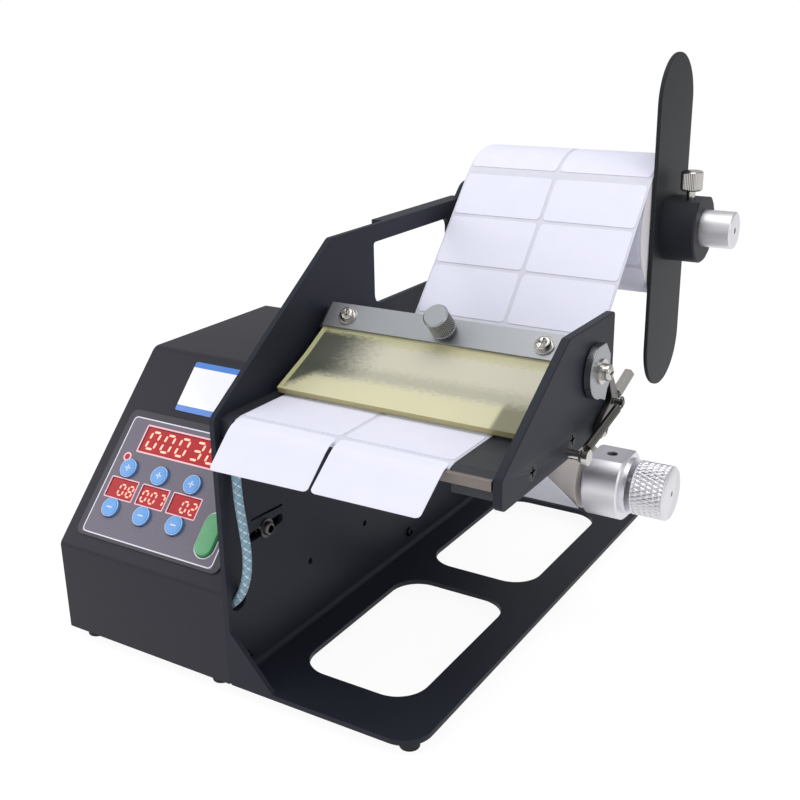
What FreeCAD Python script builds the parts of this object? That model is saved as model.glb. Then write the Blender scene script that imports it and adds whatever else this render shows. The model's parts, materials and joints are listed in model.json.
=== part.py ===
import FreeCAD, Part
import math
import os

# Desk-top label dispenser. Millimetres, +X to the right (along the rollers), +Y to the back, +Z up.
# While it is built, x = 0 is the right face of the upright plate, y = 0 its front edge and z = 0 the
# underside of the sheet. When the pieces are written they are moved so that the origin is the middle
# of the footprint, on the bench.

V = FreeCAD.Vector
os.makedirs("parts", exist_ok=True)

# ---------------------------------------------------------------- clearances
RUN_FIT = 0.05          # radial clearance of a shaft in its bush
FREE_GAP = 0.3          # between pieces that move past each other
SLIDE_GAP = 0.2         # around parts that drop into a sheet cut-out

# ---------------------------------------------------------------- bent frame sheet
SHEET = 2.5             # frame plate thickness
BASE_WIDTH = 94.0       # base flange, from the upright plate to its outer edge
BASE_DEPTH = 265.0      # base flange, front to back
BASE_CORNER = 13.0      # outer corners of the flange
CUTOUT_X0 = 16.5        # the two openings of the flange
CUTOUT_X1 = 76.5
CUTOUTS_Y = ((24.5, 122.0), (141.0, 238.5))
CUTOUT_CORNER = 15.0
GUSSET_HEIGHT = 27.0
GUSSET_WIDTH = 21.5
WALL_FRONT_HEIGHT = 126.0
ARM_TOP = 185.0         # top edge of the arm that carries the supply roll
ARM_FRONT_Y = 87.0      # where the slanted front edge meets the top edge
ARM_NECK_Y = 205.0      # back edge of the upright plate under the arm
WALL_REAR_HEIGHT = 38.0
LIP_WIDTH = 6.0         # stiffening lip along the top of the arm
LIP_Y0 = 134.0
LIP_Y1 = 214.0
WINDOW_Y0 = 122.5       # opening in the arm
WINDOW_Y1 = 196.0
WINDOW_Z0 = 146.0
WINDOW_Z1 = 176.5
FOOT_HEIGHT = 6.0
FOOT_RADIUS = 5.0
FOOT_INSET = 9.0

# ---------------------------------------------------------------- housing of the drive
HOUSING_WIDTH = 100.5   # from the upright plate's left face outwards
HOUSING_DEPTH = 168.0
HOUSING_FRONT = 45.0    # height of the vertical front face
HOUSING_TOP = 123.0
HOUSING_SLOPE_RUN = 74.6
HOUSING_SKIN = 1.5

# ---------------------------------------------------------------- dispensing head
HEAD_WIDTH = 127.0      # between the upright plate and the right plate
RIGHT_PLATE = 3.5
RIGHT_BOTTOM = 114.0
RIGHT_FRONT = 127.0
RIGHT_TOP = 164.0
RIGHT_TOP_Y0 = 56.0
RIGHT_DEPTH = 102.5
TABLE_TOP = 126.0       # height of the surface the web runs on
TABLE_THICK = 9.5
TABLE_END = 67.6        # back edge of the table
NOSE_Y = 9.0            # the table's top slopes down from here to its front
NOSE_DROP = 1.3         # from there to the front of the steel strip
NOSE_RADIUS = 0.7       # of the edge that the liner turns over
NOSE_SIDE_GAP = 1.0     # from the web to the side of the cut under the nose
STRIP_FRONT = 2.7       # front face of the steel strip, on the front of the table's right end
STRIP_THICK = 1.6
STRIP_HEIGHT = 4.0
STRIP_END_GAP = 2.0     # from the strip's right end to the right plate
STRIP_OVERLAP = 12.0    # its left end stands this far in front of the web
BAR_WIDTH = 12.4        # steel clamp bar above the guide plate
BAR_THICK = 1.2
BAR_TOP_Y = 80.4        # its upper edge, with the guide plate down on the web
BAR_TOP_Z = 157.7
BAR_TILT = 44.0         # degrees from level
BAR_SIDE_GAP = 4.5      # to the upright plate and to the right plate
BAR_SCREW_INSET = 15.8
BAR_SCREW_LENGTH = 8.6
BEAM_THICK = 6.0
BEAM_INSET = 0.6        # the beam is this much narrower than the bar on both sides
GUIDE_THICK = 3.0       # translucent guide plate
GUIDE_MID = (58.9, 136.8, 80.0)
GUIDE_LOW = (37.9, 127.2, 0.0)
GUIDE_BEND = 14.0       # radius where it leaves the bar
THUMB_OFFSET = 1.8      # thumb screw, right of the bar's middle
THUMB_RADIUS = 5.6
THUMB_NECK = 1.6
THUMB_GRIP = 11.2
THUMB_STEM = 2.0
THUMB_DEPTH = 8.0
NUT_LENGTH = 4.0        # nut on the beam's left end
CAM_SCREW = 1.9
CAM_SCREW_DEPTH = 8.0

# ---------------------------------------------------------------- rollers and web
WEB_X0 = 7.0
WEB_RIGHT_GAP = 20.0    # from the web to the right plate
LINER = 0.4
LABEL = 0.3
LABEL_PITCH = 29.0
LABEL_GAP = 2.0
LABEL_MARGIN = 1.0
LABEL_START = 8.4       # first gap between rows, behind the peel edge
PEEL_FALL = 1.6         # the liner falls this far in front of the nose, between two bends
PEEL_BEND = 0.9
LABEL_ROWS = 7
LABEL_FRONT = -15.5     # how far the peeled labels reach out of the front
PEEL_LEFT = (-13.7, 110.8)
PEEL_MIDDLE_A = (-13.9, 111.8)
PEEL_MIDDLE_B = (-14.7, 112.4)
PEEL_RIGHT = (LABEL_FRONT + LABEL * 0.56, 113.2)
DRIVE_Y = 84.0
DRIVE_RADIUS = 13.0
DRIVE_SHAFT = 4.0
PRESS_RADIUS = 6.0
PRESS_SHAFT = 3.0
PRESS_COLLAR = 4.5
CAM_Y = 81.0            # axis that the guide plate, its bar and the cam plate swing about
CAM_Z = 144.6
CAM_JOURNAL = 4.5
CAM_PLATE = 3.3
CAM_RADIUS = 11.5
GUIDE_ROD_Y = 137.0
GUIDE_ROD_RADIUS = 5.0
SUPPLY_Y = 229.8
SUPPLY_Z = 176.0
SUPPLY_RADIUS = 35.2
CORE_RADIUS = 12.7
SPINDLE_RADIUS = 9.2
SPINDLE_END = 142.4
PADDLE_LENGTH = 168.0
PADDLE_WIDTH = 48.0
PADDLE_THICK = 2.0
COLLAR_RADIUS = 17.4
COLLAR_LENGTH = 17.5
COLLAR_FLAT = 14.0
REWIND_Y = 139.0
REWIND_Z = 71.3
REWIND_SHAFT = 5.0
WASTE_RADIUS = 15.5
HUB_RADIUS = 16.6
HUB_GAP = 3.0           # from the waste roll to the hub
HUB_LENGTH = 17.5
HUB_FLAT = 14.0
SET_SCREW = 2.5
KNOB_RADIUS = 12.8
KNOB_GAP = 4.0          # from the hub to the knob
KNOB_LENGTH = 16.5

# ---------------------------------------------------------------- release lever
LEVER_PIVOT_Y = 87.0
LEVER_PIVOT_Z = 117.6
LEVER_HEAD_Y = 101.0
LEVER_HEAD_Z = 126.5
LEVER_THICK = 2.2
HANDLE_LENGTH = 15.0
HANDLE_RADIUS = 2.7
HANDLE_TILT = 20.0
POST_Y = 57.4
POST_Z = 117.0

# ---------------------------------------------------------------- control panel, u to the right, v up the slope
PANEL_U0 = 7.0
PANEL_U1 = 94.0
PANEL_V0 = 7.0
PANEL_V1 = 73.0
MEMBRANE = 0.8
DISPLAY_U = (21.2, 70.0)
DISPLAY_V = (52.8, 65.8)
SMALL_DISPLAYS_U = ((14.0, 30.5), (33.8, 50.0), (53.2, 69.6))
SMALL_DISPLAYS_V = (27.8, 37.4)
KEYS_U = (21.5, 41.2, 61.4)
PLUS_V = 43.0
MINUS_V = 22.6
KEY_RADIUS = 4.7
KEY_FLANGE = 0.5        # rim that keeps a key under the skin
KEY_HEIGHT = 1.6
KEY_TRAVEL = 0.8
ENTER_U = (77.0, 87.0)
ENTER_V = (12.7, 33.2)
LED_U = 16.8
LED_V = 48.6
BOARD_DEPTH = 9.0       # board's lower face, under the panel skin
POWER_BOARD_SIDE = 15.0
POWER_BOARD_BACK = 18.0
POWER_BOARD_WIDTH = 28.0

# ---------------------------------------------------------------- drive inside the housing
MOTOR_SIZE = 57.0
MOTOR_LENGTH = 52.0
MOTOR_Z = 58.0
MOTOR_X1 = -22.0
PULLEY_RADIUS = 6.3
BELT_THICK = 1.1
TIMING_X = (-16.0, -9.5)
ROUND_X = (-8.0, -4.0)
REWIND_PULLEY = 10.0

# ---------------------------------------------------------------- sensor lead
LEAD_RADIUS = 2.0
LEAD_POINTS = [
    V(-22.0, 8.4, 31.0),
    V(-11.0, 8.4, 31.0),
    V(0.2, 7.6, 39.8),
    V(5.6, 7.2, 51.0),
    V(6.4, 7.9, 64.0),
    V(5.4, 7.0, 78.0),
    V(3.4, 7.4, 92.0),
    V(3.4, 7.4, 106.0),
]
SENSOR_BOTTOM = 106.0

# ---------------------------------------------------------------- derived places
WALL_LEFT = -SHEET
HOUSING_LEFT = WALL_LEFT - HOUSING_WIDTH
WEB_X1 = HEAD_WIDTH - WEB_RIGHT_GAP
WEB_WIDTH = WEB_X1 - WEB_X0
HUB_X0 = WEB_X1 + HUB_GAP
KNOB_X0 = HUB_X0 + HUB_LENGTH + KNOB_GAP
RIGHT_X1 = HEAD_WIDTH + RIGHT_PLATE
WEB_TOP = TABLE_TOP + LINER + LABEL
DRIVE_Z = TABLE_TOP - FREE_GAP - DRIVE_RADIUS
PRESS_Z = WEB_TOP + FREE_GAP + PRESS_RADIUS
PRESS_END = HEAD_WIDTH + 2.5
TABLE_BOTTOM = TABLE_TOP - TABLE_THICK
GUIDE_ROD_Z = WEB_TOP + FREE_GAP + GUIDE_ROD_RADIUS
PADDLE_X0 = WEB_X1 + 0.5
COLLAR_X0 = PADDLE_X0 + PADDLE_THICK
HOUSING_SLOPE = math.atan2(HOUSING_TOP - HOUSING_FRONT, HOUSING_SLOPE_RUN)
FRONT_Y = LABEL_FRONT
BACK_Y = SUPPLY_Y + SUPPLY_RADIUS
KNOB_END = KNOB_X0 + KNOB_LENGTH
RIGHT_END = max(SPINDLE_END, KNOB_END)
SIDE_SCREW_HEAD = 1.8   # the screws that stand out of the housing's left side
LEFT_END = HOUSING_LEFT - SIDE_SCREW_HEAD
ORIGIN_SHIFT = V(-(LEFT_END + RIGHT_END) / 2, -(FRONT_Y + BACK_Y) / 2, FOOT_HEIGHT)


# ---------------------------------------------------------------- solids
def box(x0, x1, y0, y1, z0, z1):
    return Part.makeBox(x1 - x0, y1 - y0, z1 - z0, V(x0, y0, z0))


def rod(start, direction, length, radius):
    return Part.makeCylinder(radius, length, start, direction)


def rod_x(x0, x1, y, z, radius):
    return rod(V(x0, y, z), V(1, 0, 0), x1 - x0, radius)


def tube_x(x0, x1, y, z, outer, inner):
    return rod_x(x0, x1, y, z, outer).cut(rod_x(x0 - 1, x1 + 1, y, z, inner))


def fuse(shapes):
    whole = shapes[0]
    for shape in shapes[1:]:
        whole = whole.fuse(shape)
    return whole.removeSplitter()


def in_yz(x):
    """A map from (y, z) to a point of the plane at x."""
    return lambda a, b: V(x, a, b)


def in_xy(z):
    """A map from (x, y) to a point of the plane at z."""
    return lambda a, b: V(a, b, z)


def outline(corners, place):
    """A closed face through corners (a, b, radius), with a tangent arc at each corner that has one."""
    count = len(corners)
    edges = []
    ends = []
    for i in range(count):
        a, b, radius = corners[i]
        here = V(a, b, 0)
        before = V(corners[i - 1][0], corners[i - 1][1], 0)
        after = V(corners[(i + 1) % count][0], corners[(i + 1) % count][1], 0)
        into = (here - before).normalize()
        out = (after - here).normalize()
        turn = into.getAngle(out)
        if radius <= 0 or turn < 1e-4:
            ends.append((here, None, here))
            continue
        reach = radius * math.tan(turn / 2)
        first = here - into * reach
        last = here + out * reach
        inward = (out - into).normalize()
        middle = here + inward * (radius / math.cos(turn / 2) - radius)
        ends.append((first, middle, last))
    for i in range(count):
        first, middle, last = ends[i]
        following = ends[(i + 1) % count][0]
        if middle is not None:
            arc = Part.Arc(place(first.x, first.y), place(middle.x, middle.y), place(last.x, last.y))
            edges.append(arc.toShape())
        if (following - last).Length > 1e-6:
            line = Part.LineSegment(place(last.x, last.y), place(following.x, following.y))
            edges.append(line.toShape())
    return Part.Face(Part.Wire(edges))


def ribbon(path, thickness):
    """Corners of a strip of even thickness that lies to the left of path, (a, b, radius) points."""
    offset = []
    for i in range(len(path)):
        here = V(path[i][0], path[i][1], 0)
        sides = []
        if i > 0:
            sides.append((here - V(path[i - 1][0], path[i - 1][1], 0)).normalize())
        if i < len(path) - 1:
            sides.append((V(path[i + 1][0], path[i + 1][1], 0) - here).normalize())
        normals = [V(-s.y, s.x, 0) for s in sides]
        radius = path[i][2]
        if len(normals) == 2:
            mitre = (normals[0] + normals[1]) * (thickness / (1 + normals[0].dot(normals[1])))
            left_turn = sides[0].cross(sides[1]).z > 0
            if radius > 0:
                radius = radius - thickness if left_turn else radius + thickness
        else:
            mitre = normals[0] * thickness
        moved = here + mitre
        offset.append((moved.x, moved.y, max(radius, 0)))
    return list(path) + offset[::-1]


def sheet_x(corners, x0, x1):
    return outline(corners, in_yz(x0)).extrude(V(x1 - x0, 0, 0))


def sheet_z(corners, z0, z1):
    return outline(corners, in_xy(z0)).extrude(V(0, 0, z1 - z0))


def tangent(c1, s1, c2, s2, side):
    """Ends of the line that touches two circles. A signed radius puts the line on the far side."""
    d = V(c2[0] - c1[0], c2[1] - c1[1], 0)
    along = d / d.Length
    across = V(-along.y, along.x, 0) * side
    cosine = (s1 - s2) / d.Length
    normal = along * cosine + across * math.sqrt(1 - cosine ** 2)
    p1 = V(c1[0], c1[1], 0) + normal * s1
    p2 = V(c2[0], c2[1], 0) + normal * s2
    return (p1.x, p1.y), (p2.x, p2.y)


def meet(p, q, r, s):
    """Where the line through p and q crosses the line through r and s."""
    d1 = (q[0] - p[0], q[1] - p[1])
    d2 = (s[0] - r[0], s[1] - r[1])
    cross = d1[0] * d2[1] - d1[1] * d2[0]
    t = ((r[0] - p[0]) * d2[1] - (r[1] - p[1]) * d2[0]) / cross
    return (p[0] + t * d1[0], p[1] + t * d1[1])


def hull_of_circles(c1, r1, c2, r2, x0, x1):
    """A solid around two discs, as a belt runs around its pulleys."""
    a1, a2 = tangent(c1, r1, c2, r2, 1)
    b1, b2 = tangent(c1, r1, c2, r2, -1)
    d = V(c2[0] - c1[0], c2[1] - c1[1], 0).normalize()
    back = (c1[0] - d.x * r1, c1[1] - d.y * r1)
    front = (c2[0] + d.x * r2, c2[1] + d.y * r2)
    place = in_yz(x0)
    edges = [
        Part.LineSegment(place(*a1), place(*a2)).toShape(),
        Part.Arc(place(*a2), place(*front), place(*b2)).toShape(),
        Part.LineSegment(place(*b2), place(*b1)).toShape(),
        Part.Arc(place(*b1), place(*back), place(*a1)).toShape(),
    ]
    return Part.Face(Part.Wire(edges)).extrude(V(x1 - x0, 0, 0))


def pan_screw(seat, direction, radius=3.2, height=2.4, stem=1.6, length=8.0):
    """A pan-head screw with a cross recess; its head stands on the seat and points along direction."""
    head = rod(seat, direction, height, radius)
    rim = [e for e in head.Edges if abs(e.BoundBox.Center.sub(seat).dot(direction) - height) < 0.01]
    head = head.makeFillet(height * 0.6, [e for e in rim if e.Length > radius])
    side = direction.cross(V(0, 0, 1))
    if side.Length < 0.5:
        side = direction.cross(V(1, 0, 0))
    side.normalize()
    up = direction.cross(side)
    top = seat + direction * height
    for a, b in ((side, up), (up, side)):
        slot = Part.makeBox(radius * 1.2, radius * 0.28, height * 0.6)
        slot.translate(V(-radius * 0.6, -radius * 0.14, -height * 0.5))
        slot.transformShape(FreeCAD.Matrix(a.x, b.x, direction.x, top.x, a.y, b.y, direction.y, top.y,
                                           a.z, b.z, direction.z, top.z, 0, 0, 0, 1))
        head = head.cut(slot)
    return head.fuse(rod(seat - direction * length, direction, length, stem)).removeSplitter()


def countersunk_screw(face_point, direction, radius=3.6, depth=2.2, stem=1.9, length=12.0):
    """A flush cross-head screw: its top lies in the face, and direction points out of the face."""
    head = Part.makeCone(radius, stem, depth, face_point, -direction)
    stem_solid = rod(face_point - direction * length, direction, length - depth, stem)
    screw = head.fuse(stem_solid)
    for wide, tall in ((radius * 1.2, radius * 0.26), (radius * 0.26, radius * 1.2)):
        slot = box(-1.0, 1.0, -wide / 2, wide / 2, -tall / 2, tall / 2)
        slot.translate(face_point)
        screw = screw.cut(slot)
    return screw.removeSplitter()


def knurl_cuts(base, direction, radius, length, count, depth):
    """V grooves along a round grip, as a tool for one cut."""
    side = direction.cross(V(1, 0, 0))
    if side.Length < 0.5:
        side = direction.cross(V(0, 1, 0))
    side.normalize()
    other = direction.cross(side)
    grooves = []
    for i in range(count):
        angle = 2 * math.pi * i / count
        out = side * math.cos(angle) + other * math.sin(angle)
        across = direction.cross(out)
        wide = math.pi * radius / count * 0.55
        tip = base + out * (radius - depth)
        left = base + out * (radius + depth) + across * wide
        right = base + out * (radius + depth) - across * wide
        face = Part.Face(Part.makePolygon([tip, left, right, tip]))
        grooves.append(face.extrude(direction * length))
    return Part.makeCompound(grooves)


def knurled_grip(base, direction, radius, length, count, depth=0.35, plain=0.8):
    """A grip with grooves that stop short of both ends."""
    grip = rod(base, direction, length, radius)
    return grip.cut(knurl_cuts(base + direction * plain, direction, radius, length - 2 * plain, count, depth))


# ---------------------------------------------------------------- panel frame
SLOPE_UP = V(0, math.cos(HOUSING_SLOPE), math.sin(HOUSING_SLOPE))
SLOPE_OUT = V(0, -math.sin(HOUSING_SLOPE), math.cos(HOUSING_SLOPE))


def on_panel(u, v, h=0.0):
    """A point of the sloped face: u from its left edge, v up from the fold, h out of the skin."""
    return V(HOUSING_LEFT + u, 0, HOUSING_FRONT) + SLOPE_UP * v + SLOPE_OUT * h


def panel_plate(corners, h0, h1):
    face = outline(corners, lambda a, b: on_panel(a, b, h0))
    return face.extrude(SLOPE_OUT * (h1 - h0))


def panel_block(u, v, h0, h1, radius=0.0):
    corners = [(u[0], v[0], radius), (u[1], v[0], radius), (u[1], v[1], radius), (u[0], v[1], radius)]
    return panel_plate(corners, h0, h1)


def panel_rod(u, v, h0, h1, radius):
    return rod(on_panel(u, v, h0), SLOPE_OUT, h1 - h0, radius)


# ---------------------------------------------------------------- pieces
nodes = {}


def slant_z(y):
    """Height of the slanted front edge of the upright plate."""
    return WALL_FRONT_HEIGHT + (ARM_TOP - WALL_FRONT_HEIGHT) * y / ARM_FRONT_Y


def make_frame_sheet():
    wall_corners = [
        (0, 0, 0),
        (BASE_DEPTH, 0, 0),
        (BASE_DEPTH, WALL_REAR_HEIGHT, 6),
        (ARM_NECK_Y, WALL_REAR_HEIGHT + 60, 20),
        (ARM_NECK_Y, 128.0, 18),
        (SUPPLY_Y + 24.0, 150.0, 12),
        (SUPPLY_Y + 24.0, SUPPLY_Z + 17.0, 14),
        (SUPPLY_Y - 16.0, SUPPLY_Z + 17.0, 12),
        (SUPPLY_Y - 24.0, ARM_TOP, 8),
        (ARM_FRONT_Y, ARM_TOP, 4),
        (0, WALL_FRONT_HEIGHT, 4),
    ]
    wall = sheet_x(wall_corners, WALL_LEFT, 0)
    flange_corners = [
        (WALL_LEFT, 0, 0),
        (BASE_WIDTH, 0, BASE_CORNER),
        (BASE_WIDTH, BASE_DEPTH, BASE_CORNER),
        (WALL_LEFT, BASE_DEPTH, 0),
    ]
    flange = sheet_z(flange_corners, 0, SHEET)
    sheet = fuse([wall, flange])
    for x, z, radius in ((0, SHEET, SHEET), (WALL_LEFT, 0, SHEET * 0.9)):
        bend = []
        for edge in sheet.Edges:
            span = edge.BoundBox
            if span.YLength > BASE_DEPTH * 0.9 and V(span.XMax - x, 0, span.ZMin - z).Length < 0.01:
                bend.append(edge)
        sheet = sheet.makeFillet(radius, bend)
    gusset_face = outline([(-SHEET / 2, SHEET / 2, 0), (GUSSET_WIDTH, SHEET / 2, 0),
                           (GUSSET_WIDTH, SHEET, 0), (0, GUSSET_HEIGHT, 0), (-SHEET / 2, GUSSET_HEIGHT, 0)],
                          lambda a, b: V(a, 0, b))
    gusset = gusset_face.extrude(V(0, SHEET, 0))
    lip = box(WALL_LEFT - LIP_WIDTH, WALL_LEFT, LIP_Y0, LIP_Y1, ARM_TOP - SHEET, ARM_TOP)
    sheet = fuse([sheet, gusset, lip])
    openings = []
    for y0, y1 in CUTOUTS_Y:
        c = CUTOUT_CORNER
        corners = [(CUTOUT_X0, y0, c), (CUTOUT_X1, y0, c), (CUTOUT_X1, y1, c), (CUTOUT_X0, y1, c)]
        openings.append(sheet_z(corners, -1, SHEET + 1))
    window = [
        (WINDOW_Y0, WINDOW_Z0, 5), (WINDOW_Y1, WINDOW_Z0, 5),
        (WINDOW_Y1, WINDOW_Z1, 5), (WINDOW_Y0, WINDOW_Z1, 1.5),
    ]
    openings.append(sheet_x(window, WALL_LEFT - 1, 1))
    cable_hole = [(2.6, 34.6, 4.6), (12.4, 34.6, 4.6), (12.4, 44.6, 4.6), (2.6, 44.6, 4.6)]
    openings.append(sheet_x(cable_hole, WALL_LEFT - 1, 1))
    adjust_slot = [(16.8, 62.6, 2.2), (41.2, 63.4, 2.2), (41.2, 68.0, 2.2), (16.8, 67.2, 2.2)]
    openings.append(sheet_x(adjust_slot, WALL_LEFT - 1, 1))
    pointer_slit = [(18.9, 72.4, 0.5), (41.6, 71.0, 0.5), (41.6, 72.2, 0.5), (18.9, 73.6, 0.5)]
    openings.append(sheet_x(pointer_slit, WALL_LEFT - 1, 1))
    for y, z, radius in ((DRIVE_Y, DRIVE_Z, WALL_BORE_DRIVE), (REWIND_Y, REWIND_Z, WALL_BORE_REWIND),
                         (SUPPLY_Y, SUPPLY_Z, WALL_BORE_SUPPLY), (CAM_Y, CAM_Z, CAM_JOURNAL + RUN_FIT)):
        openings.append(rod_x(WALL_LEFT - 1, 1, y, z, radius))
    openings.append(rod_x(WALL_LEFT - 1, 1, DRIVE_Y, PRESS_Z, PRESS_SHAFT))
    for y, z in TABLE_SCREWS + ROD_SCREW + WALL_SCREWS + MOTOR_SCREWS:
        openings.append(rod_x(WALL_LEFT - 1, 1, y, z, 1.65))
    for opening in openings:
        sheet = sheet.cut(opening)
    return sheet


TABLE_SCREW_Z = TABLE_TOP - TABLE_THICK / 2
TABLE_SCREWS = [(25.4, TABLE_SCREW_Z), (62.0, TABLE_SCREW_Z)]
ROD_SCREW = [(GUIDE_ROD_Y, GUIDE_ROD_Z)]
WALL_SCREWS = [(10.4, 9.6), (HOUSING_DEPTH - 17.4, 11.2), (HOUSING_DEPTH - 17.4, 108.0)]
MOTOR_SCREWS = [(DRIVE_Y + a * 23.6, MOTOR_Z + b * 23.6) for a in (-1, 1) for b in (-1, 1)]


def make_housing():
    path = [
        (0, 0, 0),
        (0, HOUSING_FRONT, 4),
        (HOUSING_SLOPE_RUN, HOUSING_TOP, 6),
        (HOUSING_DEPTH, HOUSING_TOP, 4),
        (HOUSING_DEPTH, 0, 0),
    ]
    inside = ribbon([(a, b, r) for a, b, r in path[::-1]], HOUSING_SKIN)
    folded = sheet_x(inside, HOUSING_LEFT, WALL_LEFT)
    side_face = sheet_x(path, HOUSING_LEFT, HOUSING_LEFT + HOUSING_SKIN)
    shell = fuse([folded, side_face])
    left_edges = [e for e in shell.Edges
                  if abs(e.BoundBox.XMin - HOUSING_LEFT) < 0.01 and e.BoundBox.XLength < 0.01
                  and e.BoundBox.ZMax > 1]
    shell = shell.makeFillet(HOUSING_SKIN * 0.8, left_edges)
    cuts = [panel_block(DISPLAY_U, DISPLAY_V, -4, 4)]
    for u in SMALL_DISPLAYS_U:
        cuts.append(panel_block(u, SMALL_DISPLAYS_V, -4, 4))
    for u in KEYS_U:
        for v in (PLUS_V, MINUS_V):
            cuts.append(panel_rod(u, v, -4, 4, KEY_RADIUS + FREE_GAP))
    cuts.append(enter_key_solid(-4, 4, FREE_GAP))
    cuts.append(panel_rod(LED_U, LED_V, -4, 4, 1.6))
    cuts.append(box(INLET_X0, INLET_X0 + INLET_W, HOUSING_DEPTH - 3, HOUSING_DEPTH + 1, INLET_Z0,
                    INLET_Z0 + INLET_H))
    cuts.append(box(SWITCH_X0, SWITCH_X0 + SWITCH_W, HOUSING_DEPTH - 3, HOUSING_DEPTH + 1, SWITCH_Z0,
                    SWITCH_Z0 + SWITCH_H))
    for i in range(VENT_COUNT):
        z = VENT_Z0 + i * VENT_PITCH
        cuts.append(box(HOUSING_LEFT - 1, HOUSING_LEFT + 3, VENT_Y0, VENT_Y0 + VENT_LENGTH, z, z + VENT_WIDTH))
    for seat, out in HOUSING_SCREWS:
        cuts.append(rod(seat - out * 4.0, out, 5.0, 1.5))
    for cut in cuts:
        shell = shell.cut(cut)
    return shell


INLET_X0 = -88.0
INLET_W = 27.0
INLET_Z0 = 18.0
INLET_H = 20.0
HOUSING_SCREWS = [(V(-14.0, HOUSING_DEPTH, z), V(0, 1, 0)) for z in (30.0, 100.0)]
HOUSING_SCREWS += [(V(HOUSING_LEFT, y, 5.5), V(-1, 0, 0)) for y in (20.0, 150.0)]
ROCKER_TILT = 8.0       # to either side of the middle
ROCKER_DEPTH = 3.0      # of its axis, inside the back face
SWITCH_X0 = -46.0
SWITCH_W = 13.0
SWITCH_Z0 = 18.5
SWITCH_H = 19.0
VENT_COUNT = 5
VENT_PITCH = 7.0
VENT_WIDTH = 2.5
VENT_LENGTH = 46.0
VENT_Y0 = 96.0
VENT_Z0 = 30.0


def make_housing_base():
    inner = SLIDE_GAP + HOUSING_SKIN
    tray = box(HOUSING_LEFT + inner, WALL_LEFT, inner, HOUSING_DEPTH - inner, 0, HOUSING_SKIN)
    for y0 in (inner, HOUSING_DEPTH - inner - HOUSING_SKIN):
        tray = tray.fuse(box(HOUSING_LEFT + inner, WALL_LEFT, y0, y0 + HOUSING_SKIN, 0, 10.0))
    return tray.removeSplitter()


def make_feet():
    places = [
        (HOUSING_LEFT + FOOT_INSET, FOOT_INSET),
        (HOUSING_LEFT + FOOT_INSET, HOUSING_DEPTH - FOOT_INSET),
        (WALL_LEFT - FOOT_INSET - 3, FOOT_INSET),
        (BASE_WIDTH - FOOT_INSET, FOOT_INSET + 1),
        (BASE_WIDTH - FOOT_INSET, BASE_DEPTH - FOOT_INSET),
        (FOOT_INSET, BASE_DEPTH - FOOT_INSET),
    ]
    feet = []
    for x, y in places:
        foot = Part.makeCone(FOOT_RADIUS - 0.6, FOOT_RADIUS, FOOT_HEIGHT, V(x, y, -FOOT_HEIGHT), V(0, 0, 1))
        feet.append(foot)
    return Part.makeCompound(feet)


def enter_key_solid(h0, h1, grow=0.0):
    u = (ENTER_U[0] - grow, ENTER_U[1] + grow)
    v = (ENTER_V[0] - grow, ENTER_V[1] + grow)
    return panel_block(u, v, h0, h1, (u[1] - u[0]) / 2 - 0.01)


def make_panel():
    membrane = panel_block((PANEL_U0, PANEL_U1), (PANEL_V0, PANEL_V1), 0, MEMBRANE, 4.0)
    holes = [panel_block(DISPLAY_U, DISPLAY_V, -1, 2, 0.6), enter_key_solid(-1, 2, FREE_GAP)]
    for u in SMALL_DISPLAYS_U:
        holes.append(panel_block(u, SMALL_DISPLAYS_V, -1, 2, 0.6))
    for u in KEYS_U:
        for v in (PLUS_V, MINUS_V):
            holes.append(panel_rod(u, v, -1, 2, KEY_RADIUS + FREE_GAP))
    holes.append(panel_rod(LED_U, LED_V, -1, 2, 1.6))
    for hole in holes:
        membrane = membrane.cut(hole)
    nodes["control_membrane"] = membrane

    def display(u, v):
        inset = SLIDE_GAP
        return panel_block((u[0] + inset, u[1] - inset), (v[0] + inset, v[1] - inset), BOARD_TOP, 0.4)

    lights = [display(DISPLAY_U, DISPLAY_V)]
    lights += [display(u, SMALL_DISPLAYS_V) for u in SMALL_DISPLAYS_U]
    lights.append(panel_rod(LED_U, LED_V, BOARD_TOP, 0.9, 1.5))
    nodes["digit_displays"] = Part.makeCompound(lights)

    for row, v in (("plus", PLUS_V), ("minus", MINUS_V)):
        for i, u in enumerate(KEYS_U):
            nodes[row + "_key_" + str(i + 1)] = key_solid(u, v)
    cap = enter_key_solid(-2.4, MEMBRANE + KEY_HEIGHT)
    top_edges = [e for e in cap.Edges if panel_height(e.BoundBox.Center) > MEMBRANE + KEY_HEIGHT - 0.05]
    cap = cap.makeFillet(0.7, top_edges)
    nodes["enter_key"] = cap.fuse(enter_key_solid(-2.4 - 1.0, -2.4, KEY_FLANGE)).removeSplitter()

    board = panel_block((PANEL_U0 + 3, PANEL_U1 - 2), (PANEL_V0 + 2, PANEL_V1 - 2), -BOARD_DEPTH, BOARD_TOP)
    switches = []
    for u in KEYS_U:
        for v in (PLUS_V, MINUS_V):
            switches.append(panel_block((u - 3, u + 3), (v - 3, v + 3), BOARD_TOP, SWITCH_TOP))
    enter_mid = ((ENTER_U[0] + ENTER_U[1]) / 2, (ENTER_V[0] + ENTER_V[1]) / 2)
    switches.append(panel_block((enter_mid[0] - 3, enter_mid[0] + 3), (enter_mid[1] - 3, enter_mid[1] + 3),
                                BOARD_TOP, SWITCH_TOP))
    posts = []
    for u in (PANEL_U0 + 6, PANEL_U1 - 5):
        for v in (PANEL_V0 + 5, PANEL_V1 - 5):
            posts.append(panel_rod(u, v, BOARD_TOP, -HOUSING_SKIN, 2.5))
    nodes["control_board"] = Part.makeCompound([board] + switches + posts)
    nodes["blank_sticker"] = panel_block((31.0, 62.0), (77.0, 103.5), 0, 0.3, 1.2)


BOARD_TOP = -BOARD_DEPTH + 1.6
SWITCH_TOP = -3.4 - KEY_TRAVEL - FREE_GAP


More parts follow.
